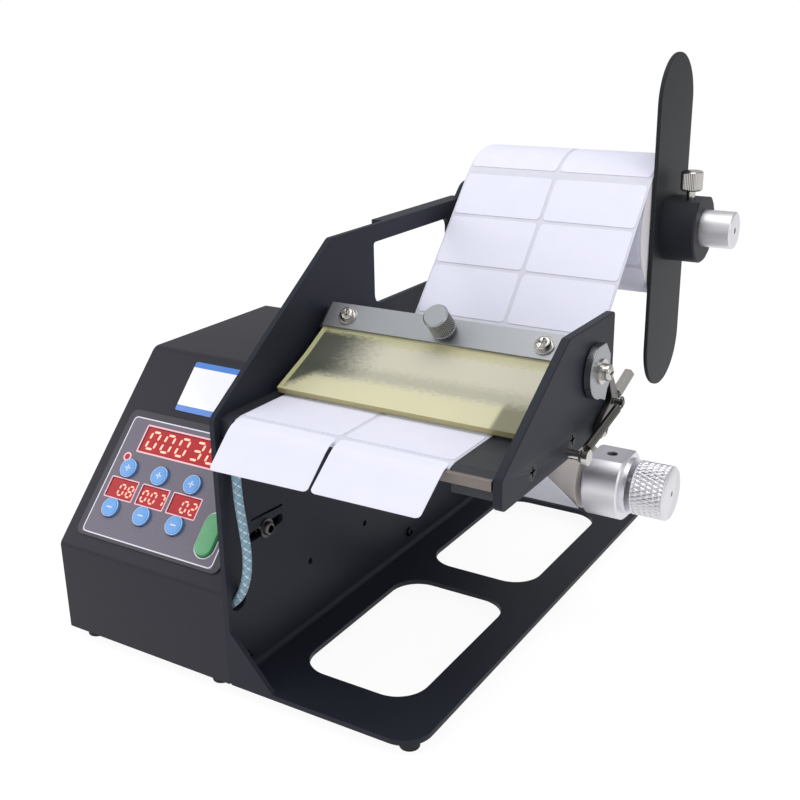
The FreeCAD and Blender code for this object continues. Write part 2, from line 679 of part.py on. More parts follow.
def panel_height(point):
    return (point - on_panel(0, 0)).dot(SLOPE_OUT)


def key_solid(u, v):
    cap = panel_rod(u, v, -2.4, MEMBRANE + KEY_HEIGHT, KEY_RADIUS)
    rim = [e for e in cap.Edges if panel_height(e.BoundBox.Center) > MEMBRANE + KEY_HEIGHT - 0.05]
    cap = cap.makeFillet(0.8, rim)
    return cap.fuse(panel_rod(u, v, -3.4, -2.4, KEY_RADIUS + KEY_FLANGE)).removeSplitter()


def wall_bush(y, z, shaft, outer, flange, flange_thick, reach):
    """A flanged bush pressed into the upright plate from the left."""
    return fuse([
        tube_x(WALL_LEFT - flange_thick, WALL_LEFT, y, z, flange, shaft + RUN_FIT),
        tube_x(WALL_LEFT - flange_thick / 2, reach, y, z, outer, shaft + RUN_FIT),
    ])


def make_drive():
    standoffs = [rod_x(MOTOR_X1, WALL_LEFT, y, z, 3.0) for y, z in MOTOR_SCREWS]
    nodes["drive_motor"] = Part.makeCompound([motor_solid()] + standoffs)
    motor_axis = (DRIVE_Y, MOTOR_Z)
    rotor = fuse([
        rod_x(MOTOR_X1 + FREE_GAP, ROUND_X[1], motor_axis[0], motor_axis[1], 3.0),
        rod_x(TIMING_X[0], TIMING_X[1], motor_axis[0], motor_axis[1], PULLEY_RADIUS),
        rod_x(ROUND_X[0], ROUND_X[1], motor_axis[0], motor_axis[1], PULLEY_RADIUS),
    ])
    nodes["motor_pulley"] = rotor
    drive_axis = (DRIVE_Y, DRIVE_Z)
    grow = FREE_GAP
    outer = hull_of_circles(motor_axis, PULLEY_RADIUS + grow + BELT_THICK, drive_axis,
                            PULLEY_RADIUS + grow + BELT_THICK, TIMING_X[0] + 0.5, TIMING_X[1] - 0.5)
    inner = hull_of_circles(motor_axis, PULLEY_RADIUS + grow, drive_axis, PULLEY_RADIUS + grow,
                            TIMING_X[0], TIMING_X[1])
    timing_belt = outer.cut(inner)
    rewind_axis = (REWIND_Y, REWIND_Z)
    outer = hull_of_circles(motor_axis, PULLEY_RADIUS + grow + 1.5, rewind_axis,
                            REWIND_PULLEY + grow + 1.5, ROUND_X[0] + 1, ROUND_X[1] - 1)
    inner = hull_of_circles(motor_axis, PULLEY_RADIUS + grow, rewind_axis, REWIND_PULLEY + grow,
                            ROUND_X[0], ROUND_X[1])
    nodes["drive_belts"] = Part.makeCompound([timing_belt, outer.cut(inner)])

    shaft = rod_x(TIMING_X[0], BLOCK_X1, DRIVE_Y, DRIVE_Z, DRIVE_SHAFT)
    pulley = tube_x(TIMING_X[0], TIMING_X[1], DRIVE_Y, DRIVE_Z, PULLEY_RADIUS, DRIVE_SHAFT)
    nodes["drive_shaft"] = Part.makeCompound([shaft, pulley])
    nodes["drive_roller"] = tube_x(WEB_X0 - 2, WEB_X1 + 2, DRIVE_Y, DRIVE_Z, DRIVE_RADIUS, DRIVE_SHAFT)
    block = fuse([
        sheet_x([(DRIVE_Y - 10, DRIVE_Z - 8.5, 4), (DRIVE_Y + 9, DRIVE_Z - 8.5, 4),
                 (DRIVE_Y + 9, DRIVE_Z + 8.5, 4), (DRIVE_Y - 10, DRIVE_Z + 8.5, 4)], BLOCK_X0, BLOCK_X1),
        box(BLOCK_X0, BLOCK_X1, TABLE_END - 12, DRIVE_Y - 6, TABLE_BOTTOM - 8, TABLE_BOTTOM),
    ])
    block = block.cut(box(BLOCK_X0 - 1, BLOCK_X1 + 1, 0, TABLE_END + 0.2, TABLE_BOTTOM, TABLE_TOP))
    nodes["bearing_block"] = block.cut(rod_x(BLOCK_X0 - 1, BLOCK_X1 + 1, DRIVE_Y, DRIVE_Z,
                                             DRIVE_SHAFT + RUN_FIT))
    nodes["wall_bushes"] = Part.makeCompound([
        wall_bush(DRIVE_Y, DRIVE_Z, DRIVE_SHAFT, WALL_BORE_DRIVE, WALL_BORE_DRIVE + 0.6, 3.0, 2.0),
        wall_bush(REWIND_Y, REWIND_Z, REWIND_SHAFT, WALL_BORE_REWIND, 11.0, 1.2, 4.0),
        wall_bush(SUPPLY_Y, SUPPLY_Z, SUPPLY_STUD, WALL_BORE_SUPPLY, 11.0, 3.0, 0.6),
    ])


WALL_BORE_DRIVE = 8.0
WALL_BORE_REWIND = 9.0
WALL_BORE_SUPPLY = 8.0
SUPPLY_STUD = 5.0
BLOCK_X0 = WEB_X1 + 5.0
BLOCK_X1 = BLOCK_X0 + 8.0
TABLE_FRONT = STRIP_FRONT + STRIP_THICK
PEEL_FRONT = TABLE_FRONT + FREE_GAP + LINER
NOSE_FRONT = PEEL_FRONT + FREE_GAP


def motor_solid():
    half = MOTOR_SIZE / 2
    x0 = MOTOR_X1 - MOTOR_LENGTH
    corners = [(DRIVE_Y - half, MOTOR_Z - half, 5), (DRIVE_Y + half, MOTOR_Z - half, 5),
               (DRIVE_Y + half, MOTOR_Z + half, 5), (DRIVE_Y - half, MOTOR_Z + half, 5)]
    body = sheet_x(corners, x0, MOTOR_X1)
    waist = [(DRIVE_Y - half + 1.5, MOTOR_Z - half + 1.5, 8), (DRIVE_Y + half - 1.5, MOTOR_Z - half + 1.5, 8),
             (DRIVE_Y + half - 1.5, MOTOR_Z + half - 1.5, 8), (DRIVE_Y - half + 1.5, MOTOR_Z + half - 1.5, 8)]
    ring = sheet_x(corners, x0 + 10, MOTOR_X1 - 8).cut(sheet_x(waist, x0 + 9, MOTOR_X1 - 7))
    return body.cut(ring)


def nose_height(y):
    """Height of the table's sloping nose."""
    return TABLE_TOP - NOSE_DROP * (NOSE_Y - y) / (NOSE_Y - STRIP_FRONT)


def make_head():
    right_corners = [
        (0, RIGHT_BOTTOM, 4),
        (RIGHT_DEPTH, RIGHT_BOTTOM, 2),
        (RIGHT_DEPTH, RIGHT_TOP, 1.5),
        (RIGHT_TOP_Y0, RIGHT_TOP, 3),
        (0, RIGHT_FRONT, 3),
    ]
    plate = sheet_x(right_corners, HEAD_WIDTH, RIGHT_X1)
    face_edges = [e for e in plate.Edges if abs(e.BoundBox.XMin - RIGHT_X1) < 0.01 and e.BoundBox.XLength < 0.01]
    plate = plate.makeChamfer(0.4, face_edges)
    plate = plate.cut(rod_x(HEAD_WIDTH - 1, RIGHT_X1 + 1, CAM_Y, CAM_Z, CAM_JOURNAL + RUN_FIT))
    plate = plate.cut(rod_x(HEAD_WIDTH - 1, PRESS_END, DRIVE_Y, PRESS_Z, PRESS_SHAFT))
    screws = []
    for y, z in TABLE_SCREWS:
        screw = countersunk_screw(V(RIGHT_X1, y, z), V(1, 0, 0))
        sink = Part.makeCone(3.6, 1.9, 2.2, V(RIGHT_X1, y, z), V(-1, 0, 0))
        plate = plate.cut(sink.fuse(rod_x(HEAD_WIDTH - 1, RIGHT_X1 - 2, y, z, 1.9)))
        screws.append(screw)
    plate = plate.cut(rod_x(HEAD_WIDTH - 1, RIGHT_X1 + 1, LEVER_PIVOT_Y, LEVER_PIVOT_Z, PIVOT_STEM))
    plate = plate.cut(rod_x(HEAD_WIDTH - 1, RIGHT_X1 + 1, POST_Y, POST_Z, 1.5))
    nodes["right_plate"] = plate
    nodes["black_screws"] = Part.makeCompound(screws + make_black_pan_screws())

    cheek = [(TABLE_FRONT, TABLE_BOTTOM, 0), (TABLE_END, TABLE_BOTTOM, 0), (TABLE_END, TABLE_TOP, 0),
             (NOSE_Y, TABLE_TOP, 0), (TABLE_FRONT, nose_height(TABLE_FRONT), 0)]
    nose_x0 = WEB_X0 - NOSE_SIDE_GAP
    nose_x1 = WEB_X1 + NOSE_SIDE_GAP
    table = fuse([
        sheet_x(cheek, 0, nose_x0),
        sheet_x(nose_profile(), nose_x0, nose_x1),
        sheet_x(cheek, nose_x1, HEAD_WIDTH),
    ])
    for y, z in TABLE_SCREWS:
        table = table.cut(rod_x(HEAD_WIDTH - 10, HEAD_WIDTH + 1, y, z, 1.9))
        table = table.cut(rod_x(-1, 8.0, y, z, 1.6))
    table = table.cut(rod_x(HEAD_WIDTH - 3.5, HEAD_WIDTH + 1, POST_Y, POST_Z, 1.5))
    nodes["peel_table"] = table
    edge_height = nose_height(STRIP_FRONT)
    profile = [(STRIP_FRONT, edge_height - STRIP_HEIGHT, 0), (TABLE_FRONT, edge_height - STRIP_HEIGHT, 0),
               (TABLE_FRONT, nose_height(TABLE_FRONT), 0), (STRIP_FRONT, edge_height, 0.7)]
    nodes["peel_strip"] = sheet_x(profile, WEB_X1 - STRIP_OVERLAP, HEAD_WIDTH - STRIP_END_GAP)


def nose_profile():
    """The table's section under the web: a thin nose, cut back underneath along the returning liner."""
    below, corner = web_paths()[3:5]
    run = V(corner[0] - below[0], corner[1] - below[1], 0).normalize()
    start = (below[0] - run.y * FREE_GAP, below[1] + run.x * FREE_GAP)
    end = (start[0] + run.x, start[1] + run.y)
    tip = meet(start, end, (NOSE_FRONT, 0), (NOSE_FRONT, TABLE_TOP))
    heel = meet(start, end, (0, TABLE_BOTTOM), (TABLE_END, TABLE_BOTTOM))
    return [tip + (0,), heel + (0,), (TABLE_END, TABLE_BOTTOM, 0), (TABLE_END, TABLE_TOP, 0),
            (NOSE_Y, TABLE_TOP, 0), (NOSE_FRONT, nose_height(NOSE_FRONT), NOSE_RADIUS)]


def make_swing_guide():
    """The guide plate, the bar that holds it and the beam under them, which swings in both plates."""
    along = V(0, math.cos(math.radians(BAR_TILT)), math.sin(math.radians(BAR_TILT)))
    up = V(0, -along.z, along.y)
    top = V(0, BAR_TOP_Y, BAR_TOP_Z)
    beam_top = -BAR_THICK - GUIDE_THICK

    def tilted(x0, x1, start, width, h0, h1):
        a = top - along * start
        corners = [a + up * h0, a - along * width + up * h0, a - along * width + up * h1, a + up * h1]
        return sheet_x([(c.y, c.z, 0) for c in corners], x0, x1)

    x0 = BAR_SIDE_GAP
    x1 = HEAD_WIDTH - BAR_SIDE_GAP
    bar = tilted(x0, x1, 0, BAR_WIDTH, -BAR_THICK, 0)
    beam = fuse([
        tilted(FREE_GAP, HEAD_WIDTH - FREE_GAP, BEAM_INSET, BAR_WIDTH - 2 * BEAM_INSET, beam_top - BEAM_THICK, beam_top),
        rod_x(WALL_LEFT - NUT_LENGTH, CAM_X0, CAM_Y, CAM_Z, CAM_JOURNAL),
    ])
    beam = beam.cut(rod_x(CAM_X0 - CAM_SCREW_DEPTH, CAM_X0 + 1, CAM_Y, CAM_Z, CAM_SCREW))
    start = top - along + up * beam_top
    bend = top - along * (BAR_WIDTH + GUIDE_BEND / 8) + up * beam_top
    path = [GUIDE_LOW, GUIDE_MID, (bend.y, bend.z, GUIDE_BEND), (start.y, start.z, 0)]
    guide = sheet_x(ribbon(path, GUIDE_THICK), x0, x1)
    screws = []
    middle = top - along * (BAR_WIDTH / 2)
    for x in (BAR_SCREW_INSET, HEAD_WIDTH - BAR_SCREW_INSET):
        seat = middle + V(x, 0, 0)
        washer = rod(seat, up, 0.8, 4.4)
        screw = pan_screw(seat + up * 0.8, up, 3.3, 2.2, 1.6, BAR_SCREW_LENGTH + 0.8)
        screws.append(washer.fuse(screw).removeSplitter())
        hole = rod(seat - up * BAR_SCREW_LENGTH, up, BAR_SCREW_LENGTH + 1, 1.6)
        bar = bar.cut(hole)
        guide = guide.cut(hole)
        beam = beam.cut(hole)
    centre = middle + V(HEAD_WIDTH / 2 + THUMB_OFFSET, 0, 0)
    stem_hole = rod(centre - up * (THUMB_DEPTH + 0.5), up, THUMB_DEPTH + 1.5, THUMB_STEM + RUN_FIT)
    nodes["clamp_bar"] = bar.cut(stem_hole)
    nodes["guide_plate"] = guide.cut(stem_hole)
    nut = nut_x(WALL_LEFT - NUT_LENGTH, WALL_LEFT - FREE_GAP, CAM_Y, CAM_Z, 7.5, CAM_JOURNAL)
    nodes["cross_beam"] = Part.makeCompound([beam.cut(stem_hole), nut])
    nodes["bar_screws"] = Part.makeCompound(screws)
    neck = rod(centre + up * FREE_GAP, up, THUMB_NECK, 3.6)
    grip = knurled_grip(centre + up * (FREE_GAP + THUMB_NECK), up, THUMB_RADIUS, THUMB_GRIP, 36)
    stem = rod(centre - up * THUMB_DEPTH, up, THUMB_DEPTH + FREE_GAP, THUMB_STEM)
    nodes["clamp_screw"] = fuse([stem, neck, grip])
    return centre, up


PIVOT_STEM = 2.0


def make_pressure_roller():
    x0 = WEB_X0 - 1.5
    x1 = PRESS_X1 - 0.5
    nodes["pressure_shaft"] = fuse([
        rod_x(WALL_LEFT, PRESS_END, DRIVE_Y, PRESS_Z, PRESS_SHAFT),
        rod_x(0, x0 - FREE_GAP, DRIVE_Y, PRESS_Z, PRESS_COLLAR),
        rod_x(x1 + FREE_GAP, HEAD_WIDTH, DRIVE_Y, PRESS_Z, PRESS_COLLAR),
    ])
    nodes["pressure_roller"] = tube_x(x0, x1, DRIVE_Y, PRESS_Z, PRESS_RADIUS, PRESS_SHAFT + RUN_FIT)


def make_cam():
    disc = rod_x(CAM_X0, CAM_X0 + CAM_PLATE, CAM_Y, CAM_Z, CAM_RADIUS)
    tip = sheet_x([(CAM_Y - 6.0, CAM_Z - 9.3, 0), (CAM_Y + 5.0, CAM_Z - 13.8, 0), (CAM_Y + 9.0, CAM_Z - 4.0, 0),
                   (CAM_Y, CAM_Z, 0)], CAM_X0, CAM_X0 + CAM_PLATE)
    plate = fuse([disc, tip])
    keep = sheet_x([(CAM_Y - 20, CAM_Z - 20, 0), (CAM_Y + 9.0, CAM_Z - 20, 0), (CAM_Y + 9.0, CAM_Z + 5.0, 0),
                    (CAM_Y + 4.0, CAM_Z + 11.0, 0), (CAM_Y - 20, CAM_Z + 11.0, 0)], CAM_X0 - 1, CAM_X0 + 9)
    plate = plate.common(keep)
    plate = plate.cut(rod_x(CAM_X0 - 1, CAM_X0 + 9, CAM_Y, CAM_Z, CAM_SCREW))
    nodes["cam_plate"] = plate
    seat = V(CAM_X0 + CAM_PLATE, CAM_Y, CAM_Z)
    washers = fuse([rod(seat, V(1, 0, 0), 0.8, 5.2), rod(seat + V(0.8, 0, 0), V(1, 0, 0), 1.0, 3.6)])
    screw = pan_screw(seat + V(1.8, 0, 0), V(1, 0, 0), 3.4, 2.4, CAM_SCREW, CAM_PLATE + CAM_SCREW_DEPTH)
    nodes["cam_screw"] = washers.fuse(screw).removeSplitter()


PRESS_X1 = WEB_X1 + 6.0
CAM_X0 = RIGHT_X1 + FREE_GAP


def nut_x(x0, x1, y, z, across, bore):
    corners = []
    for i in range(6):
        angle = math.radians(60 * i + 30)
        corners.append((y + across * math.cos(angle), z + across * math.sin(angle), 0))
    return sheet_x(corners, x0, x1).cut(rod_x(x0 - 1, x1 + 1, y, z, bore))


def make_lever():
    pivot = (LEVER_PIVOT_Y, LEVER_PIVOT_Z)
    head = (LEVER_HEAD_Y, LEVER_HEAD_Z)
    x0 = RIGHT_X1 + FREE_GAP
    x1 = x0 + LEVER_THICK
    arm = hull_of_circles(pivot, 4.0, head, 3.4, x0, x1)
    pawl = hull_of_circles(head, 3.4, (PAWL_Y, PAWL_Z), 1.8, x0, x1)
    lever = fuse([arm, pawl])
    lever = lever.cut(rod_x(x0 - 1, x1 + 1, pivot[0], pivot[1], PIVOT_STEM + RUN_FIT))
    lug = rod_x(x1 - 0.5, x1 + 4.2, head[0] - 1.5, head[1] - 0.5, 1.4)
    tilt = math.radians(HANDLE_TILT)
    out = V(0, math.cos(tilt), math.sin(tilt))
    root = V((x0 + x1) / 2, head[0], head[1])
    nodes["release_lever"] = fuse([lever, lug])
    handle = Part.makePolygon([hex_point(root + out * 3.4, out, i) for i in range(7)])
    handle = Part.Face(handle).extrude(out * HANDLE_LENGTH)
    nodes["lever_handle"] = handle.cut(nodes["release_lever"])
    seat = V(x1 + FREE_GAP * 0.5, pivot[0], pivot[1])
    screw = pan_screw(seat, V(1, 0, 0), 2.9, 1.8, PIVOT_STEM, LEVER_THICK + FREE_GAP * 1.5 + RIGHT_PLATE)
    post = fuse([
        rod_x(HEAD_WIDTH, RIGHT_X1, POST_Y, POST_Z, 1.5),
        rod_x(RIGHT_X1, SPRING_X + 1.2, POST_Y, POST_Z, 1.9),
        rod_x(SPRING_X + 1.2, SPRING_X + 3.4, POST_Y, POST_Z, 3.2),
    ])
    nodes["lever_studs"] = Part.makeCompound([screw, post])
    a = V(SPRING_X, POST_Y, POST_Z)
    b = V(SPRING_X, head[0] - 1.5, head[1] - 0.5)
    d = (b - a).normalize()
    coil_start = a + d * 5.5
    coil_end = b - d * 5.0
    body = rod(coil_start, d, (coil_end - coil_start).Length, SPRING_RADIUS)
    hooks = [rod(a + d * 2.3, d, 3.4, 0.5), rod(b - d * 5.2, d, 3.4, 0.5)]
    nodes["lever_spring"] = fuse([body] + hooks)


PAWL_Y = 94.0
PAWL_Z = 139.0
SPRING_X = RIGHT_X1 + FREE_GAP + LEVER_THICK + 3.2
SPRING_RADIUS = 1.9


def hex_point(centre, out, i):
    side = V(1, 0, 0)
    up = out.cross(side)
    angle = math.radians(60 * i)
    return centre + side * (HANDLE_RADIUS * math.cos(angle)) + up * (HANDLE_RADIUS * math.sin(angle))


def web_paths():
    """The inner side of the liner: corners from the supply roll, round the peel edge, to the waste roll."""
    under_rod = GUIDE_ROD_RADIUS + FREE_GAP + LABEL + LINER
    roll = (SUPPLY_Y, SUPPLY_Z)
    guide = (GUIDE_ROD_Y, GUIDE_ROD_Z)
    leave, touch = tangent(roll, SUPPLY_RADIUS + FREE_GAP, guide, -under_rod, -1)
    bend = meet(leave, touch, (0, TABLE_TOP), (100, TABLE_TOP))
    front = (PEEL_FRONT, nose_height(PEEL_FRONT))
    below = (PEEL_FRONT, front[1] - PEEL_FALL)
    drive = (DRIVE_Y, DRIVE_Z)
    waste = (REWIND_Y, REWIND_Z)
    t1, t2 = tangent(below, 0.0, drive, DRIVE_RADIUS + FREE_GAP, -1)
    t3, t4 = tangent(drive, DRIVE_RADIUS + FREE_GAP, waste, WASTE_RADIUS + FREE_GAP, -1)
    corner = meet(t1, t2, t3, t4)
    return leave, bend, front, below, corner, t4, under_rod


def make_web():
    leave, bend, front, below, corner, last, under_rod = web_paths()
    top_path = [
        (leave[0], leave[1], 0),
        (bend[0], bend[1], under_rod),
        (NOSE_Y, TABLE_TOP, 0),
        (front[0], front[1], PEEL_BEND),
        (below[0], below[1], PEEL_BEND),
        (corner[0], corner[1], DRIVE_RADIUS + FREE_GAP),
        (last[0], last[1], 0),
    ]
    liner = sheet_x(ribbon(top_path[::-1], LINER), WEB_X0, WEB_X1)
    nodes["liner_web"] = liner

    slope = V(leave[0] - bend[0], leave[1] - bend[1], 0).normalize()
    lift = V(-slope.y, slope.x, 0)

    def place(s):
        if s < bend[0]:
            return (s, TABLE_TOP)
        return (bend[0] + slope.x * (s - bend[0]), bend[1] + slope.y * (s - bend[0]))

    columns = label_columns()
    labels = []
    for i in range(LABEL_ROWS):
        s0 = LABEL_START + i * LABEL_PITCH + LABEL_GAP / 2
        s1 = s0 + LABEL_PITCH - LABEL_GAP
        run_out = bend[0] + math.hypot(leave[0] - bend[0], leave[1] - bend[1])
        s1 = min(s1, run_out)
        if s1 - s0 < 3.0:
            continue
        path = [place(s0) + (0,)]
        if s0 < bend[0] < s1:
            path.append((bend[0], bend[1], under_rod))
        path.append(place(s1) + (0,))
        full = ribbon(path, LINER + LABEL)
        liner_part = ribbon(path, LINER)
        for x0, x1 in columns:
            strip = sheet_x(full, x0, x1).cut(sheet_x(liner_part, x0 - 1, x1 + 1))
            labels.append(strip)
    nodes["web_labels"] = Part.makeCompound(labels)

    peeled = []
    ends = [(PEEL_LEFT, PEEL_MIDDLE_A), (PEEL_MIDDLE_B, PEEL_RIGHT)]
    for (x0, x1), (end0, end1) in zip(columns, ends):
        sections = []
        for x, end in ((x0, end0), (x1, end1)):
            corners = droop(end)
            sections.append(Part.makePolygon([V(x, c[0], c[1]) for c in corners + corners[:1]]))
        peeled.append(Part.makeLoft(sections, True, True))
    nodes["peeled_labels"] = Part.makeCompound(peeled)


def droop(end):
    """Corners of a label that runs down the nose, bends over the peel edge and hangs down to its end."""
    y0 = LABEL_START - LABEL_GAP / 2
    y1 = STRIP_FRONT - 0.5
    lift = LINER * 1.03
    start = (y0, nose_height(y0) + lift)
    edge = (y1, nose_height(y1) + lift)
    knee = (edge[0] - 2.7, edge[1] - 1.7)
    path = [start, edge, knee, end]
    return [(p[0], p[1]) for p in ribbon([p + (0,) for p in path[::-1]], LABEL)]


def label_columns():
    width = (WEB_WIDTH - 2 * LABEL_MARGIN - LABEL_GAP) / 2
    left = WEB_X0 + LABEL_MARGIN
    return [(left, left + width), (left + width + LABEL_GAP, left + 2 * width + LABEL_GAP)]


def make_supply():
    shaft = fuse([
        rod_x(-13.0, 1.5, SUPPLY_Y, SUPPLY_Z, SUPPLY_STUD),
        rod_x(1.0, SPINDLE_END, SUPPLY_Y, SUPPLY_Z, SPINDLE_RADIUS),
    ])
    end_edges = [e for e in shaft.Edges if abs(e.BoundBox.XMin - SPINDLE_END) < 0.01]
    shaft = shaft.makeChamfer(0.7, end_edges)
    shaft = shaft.cut(rod_x(SPINDLE_END - 6, SPINDLE_END + 1, SUPPLY_Y, SUPPLY_Z, 1.5))
    inner_flange = tube_x(1.2, WEB_X0 - 0.4, SUPPLY_Y, SUPPLY_Z, 22.0, SPINDLE_RADIUS)
    brake_nut = nut_x(-11.5, -6.5, SUPPLY_Y, SUPPLY_Z, 8.5, SUPPLY_STUD)
    brake_washer = tube_x(-6.5, WALL_LEFT - 3.0 - FREE_GAP, SUPPLY_Y, SUPPLY_Z, 8.0, SUPPLY_STUD)
    nodes["supply_spindle"] = Part.makeCompound([shaft, inner_flange, brake_nut, brake_washer])
    nodes["roll_core"] = tube_x(WEB_X0, WEB_X1, SUPPLY_Y, SUPPLY_Z, CORE_RADIUS, SPINDLE_RADIUS)
    nodes["label_roll"] = tube_x(WEB_X0, WEB_X1, SUPPLY_Y, SUPPLY_Z, SUPPLY_RADIUS, CORE_RADIUS)

    half = PADDLE_WIDTH / 2
    y0 = SUPPLY_Y - half
    y1 = SUPPLY_Y + half
    z0 = SUPPLY_Z - PADDLE_LENGTH / 2
    z1 = SUPPLY_Z + PADDLE_LENGTH / 2
    end = half - 0.01
    paddle = sheet_x([(y0, z0, end), (y1, z0, end), (y1, z1, end), (y0, z1, end)],
                     PADDLE_X0, PADDLE_X0 + PADDLE_THICK)
    rims = [e for e in paddle.Edges if e.BoundBox.XLength < 0.01]
    paddle = paddle.makeFillet(PADDLE_THICK * 0.3, rims)
    paddle = paddle.cut(rod_x(PADDLE_X0 - 1, COLLAR_X0 + 1, SUPPLY_Y, SUPPLY_Z, SPINDLE_RADIUS + RUN_FIT))
    nodes["guide_paddle"] = paddle
    collar_x1 = COLLAR_X0 + COLLAR_LENGTH
    collar = rod_x(COLLAR_X0, collar_x1, SUPPLY_Y, SUPPLY_Z, COLLAR_RADIUS)
    collar = collar.makeChamfer(0.8, [e for e in collar.Edges if abs(e.BoundBox.XMin - collar_x1) < 0.01])
    flat = box(COLLAR_X0 - 1, collar_x1 + 1, SUPPLY_Y - 30, SUPPLY_Y + 30, SUPPLY_Z + COLLAR_FLAT,
               SUPPLY_Z + 40)
    collar = collar.cut(flat)
    collar = collar.cut(rod_x(COLLAR_X0 - 1, collar_x1 + 1, SUPPLY_Y, SUPPLY_Z, SPINDLE_RADIUS + RUN_FIT))
    screw_x = COLLAR_X0 + COLLAR_LENGTH * 0.55
    base = V(screw_x, SUPPLY_Y, SUPPLY_Z + SPINDLE_RADIUS + FREE_GAP)
    collar = collar.cut(rod(base - V(0, 0, 2), V(0, 0, 1), 12.0, 2.2 + RUN_FIT))
    nodes["guide_collar"] = collar
    grip_z = SUPPLY_Z + COLLAR_FLAT + 4.2
    nodes["guide_screw"] = fuse([
        rod(base, V(0, 0, 1), grip_z - base.z + 1, 2.2),
        knurled_grip(V(screw_x, SUPPLY_Y, grip_z), V(0, 0, 1), 5.4, 9.6, 32),
    ])


def make_rewind():
    shaft = rod_x(ROUND_X[0], KNOB_X0 + 3.0, REWIND_Y, REWIND_Z, REWIND_SHAFT)
    pulley = tube_x(ROUND_X[0], ROUND_X[1], REWIND_Y, REWIND_Z, REWIND_PULLEY, REWIND_SHAFT)
    core = tube_x(WEB_X0 - 1, HUB_X0, REWIND_Y, REWIND_Z, 9.0, REWIND_SHAFT)
    nodes["rewind_shaft"] = Part.makeCompound([shaft, pulley, core])
    nodes["waste_roll"] = tube_x(WEB_X0, WEB_X1, REWIND_Y, REWIND_Z, WASTE_RADIUS, 9.0)
    hub_x1 = HUB_X0 + HUB_LENGTH
    hub = rod_x(HUB_X0, hub_x1, REWIND_Y, REWIND_Z, HUB_RADIUS)
    hub = hub.makeChamfer(0.8, [e for e in hub.Edges if e.BoundBox.XLength < 0.01])
    hub = hub.cut(box(HUB_X0 - 1, hub_x1 + 1, REWIND_Y - 30, REWIND_Y + 30, REWIND_Z + HUB_FLAT,
                      REWIND_Z + 40))
    shoulder = rod_x(hub_x1 - 0.5, hub_x1 + 2.4, REWIND_Y, REWIND_Z, HUB_RADIUS - 3.4)
    hub = fuse([hub, shoulder])
    hub = hub.cut(rod_x(HUB_X0 - 1, hub_x1 + 4, REWIND_Y, REWIND_Z, REWIND_SHAFT))
    screw_x = HUB_X0 + HUB_LENGTH * 0.5
    screw_top = REWIND_Z + HUB_FLAT - 0.8
    axis_point = V(screw_x, REWIND_Y, REWIND_Z)
    hub = hub.cut(rod(axis_point, V(0, 0, 1), HUB_RADIUS, SET_SCREW))
    nodes["rewind_hub"] = hub
    nodes["hub_set_screw"] = rod(axis_point, V(0, 0, 1), screw_top - REWIND_Z, SET_SCREW).cut(shaft)
    knob = knurled_grip(V(KNOB_X0, REWIND_Y, REWIND_Z), V(1, 0, 0), KNOB_RADIUS, KNOB_LENGTH, 48, 0.5)
    knob = knob.cut(rod_x(KNOB_X0 - 1, KNOB_X0 + 3, REWIND_Y, REWIND_Z, REWIND_SHAFT))
    nodes["rewind_knob"] = knob.cut(rod_x(KNOB_END - 5, KNOB_END + 1, REWIND_Y, REWIND_Z, 1.2))


def lead_solid():
    """The lead as straight runs joined by tangent arcs, and the radius of each arc."""
    points = LEAD_POINTS
    runs = [(points[i + 1] - points[i]) for i in range(len(points) - 1)]
    edges = []
    radii = []
    here = points[0]
    for i in range(1, len(points) - 1):
        into = V(runs[i - 1]).normalize()
        out = V(runs[i]).normalize()
        turn = into.getAngle(out)
        reach = 0.45 * min(runs[i - 1].Length, runs[i].Length)
        radius = reach / math.tan(turn / 2)
        first = points[i] - into * reach
        last = points[i] + out * reach
        inward = (out - into).normalize()
        middle = points[i] + inward * (radius / math.cos(turn / 2) - radius)
        edges.append(Part.LineSegment(here, first).toShape())
        edges.append(Part.Arc(first, middle, last).toShape())
        radii.append(radius)
        here = last
    edges.append(Part.LineSegment(here, points[-1]).toShape())
    path = Part.Wire(edges)
    ring = Part.Wire([Part.Circle(points[0], runs[0], LEAD_RADIUS).toShape()])
    tube = path.makePipeShell([ring], True, False)
    return tube, path.Length, radii


def left_screws():
    """The screws that come through the upright plate from its left face."""
    screws = [pan_screw(V(WALL_LEFT, y, z), V(-1, 0, 0), length=SHEET + 7.5) for y, z in TABLE_SCREWS]
    screws.append(pan_screw(V(WALL_LEFT, GUIDE_ROD_Y, GUIDE_ROD_Z), V(-1, 0, 0), length=SHEET + 9))
    return screws


def make_sensor():
    sensor = box(0, WEB_X0 - 0.6, 2.2, 13.0, SENSOR_BOTTOM, TABLE_BOTTOM)
    tube, length, radii = lead_solid()
    nodes["sensor_lead"] = tube
    print("sensor lead length", round(length, 1), "radii", [round(r, 1) for r in radii])
    print("sensor lead volume ratio", round(tube.Volume / (math.pi * LEAD_RADIUS ** 2 * length), 4))
    start = LEAD_POINTS[0]
    clip = box(start.x - 7, start.x, start.y - 4.5, start.y + 4.5, start.z - 6, start.z + 4.5)
    arm = box(start.x - 7, WALL_LEFT, start.y - 4.5, start.y + 4.5, start.z - 9, start.z - 6)
    nodes["gap_sensor"] = Part.makeCompound([sensor, fuse([clip, arm])])
    slot_mid = V(0, 29.0, 65.3)
    washer = rod(slot_mid, V(1, 0, 0), 0.8, 4.4)
    screw = pan_screw(slot_mid + V(0.8, 0, 0), V(1, 0, 0), 3.2, 2.0, 1.8, SHEET + 4.8)
    nut = nut_x(WALL_LEFT - 3.5, WALL_LEFT, slot_mid.y, slot_mid.z, 4.6, 1.8)
    slot_fastener = [washer.fuse(screw).removeSplitter(), nut]
    nodes["plain_screws"] = Part.makeCompound(left_screws() + slot_fastener)


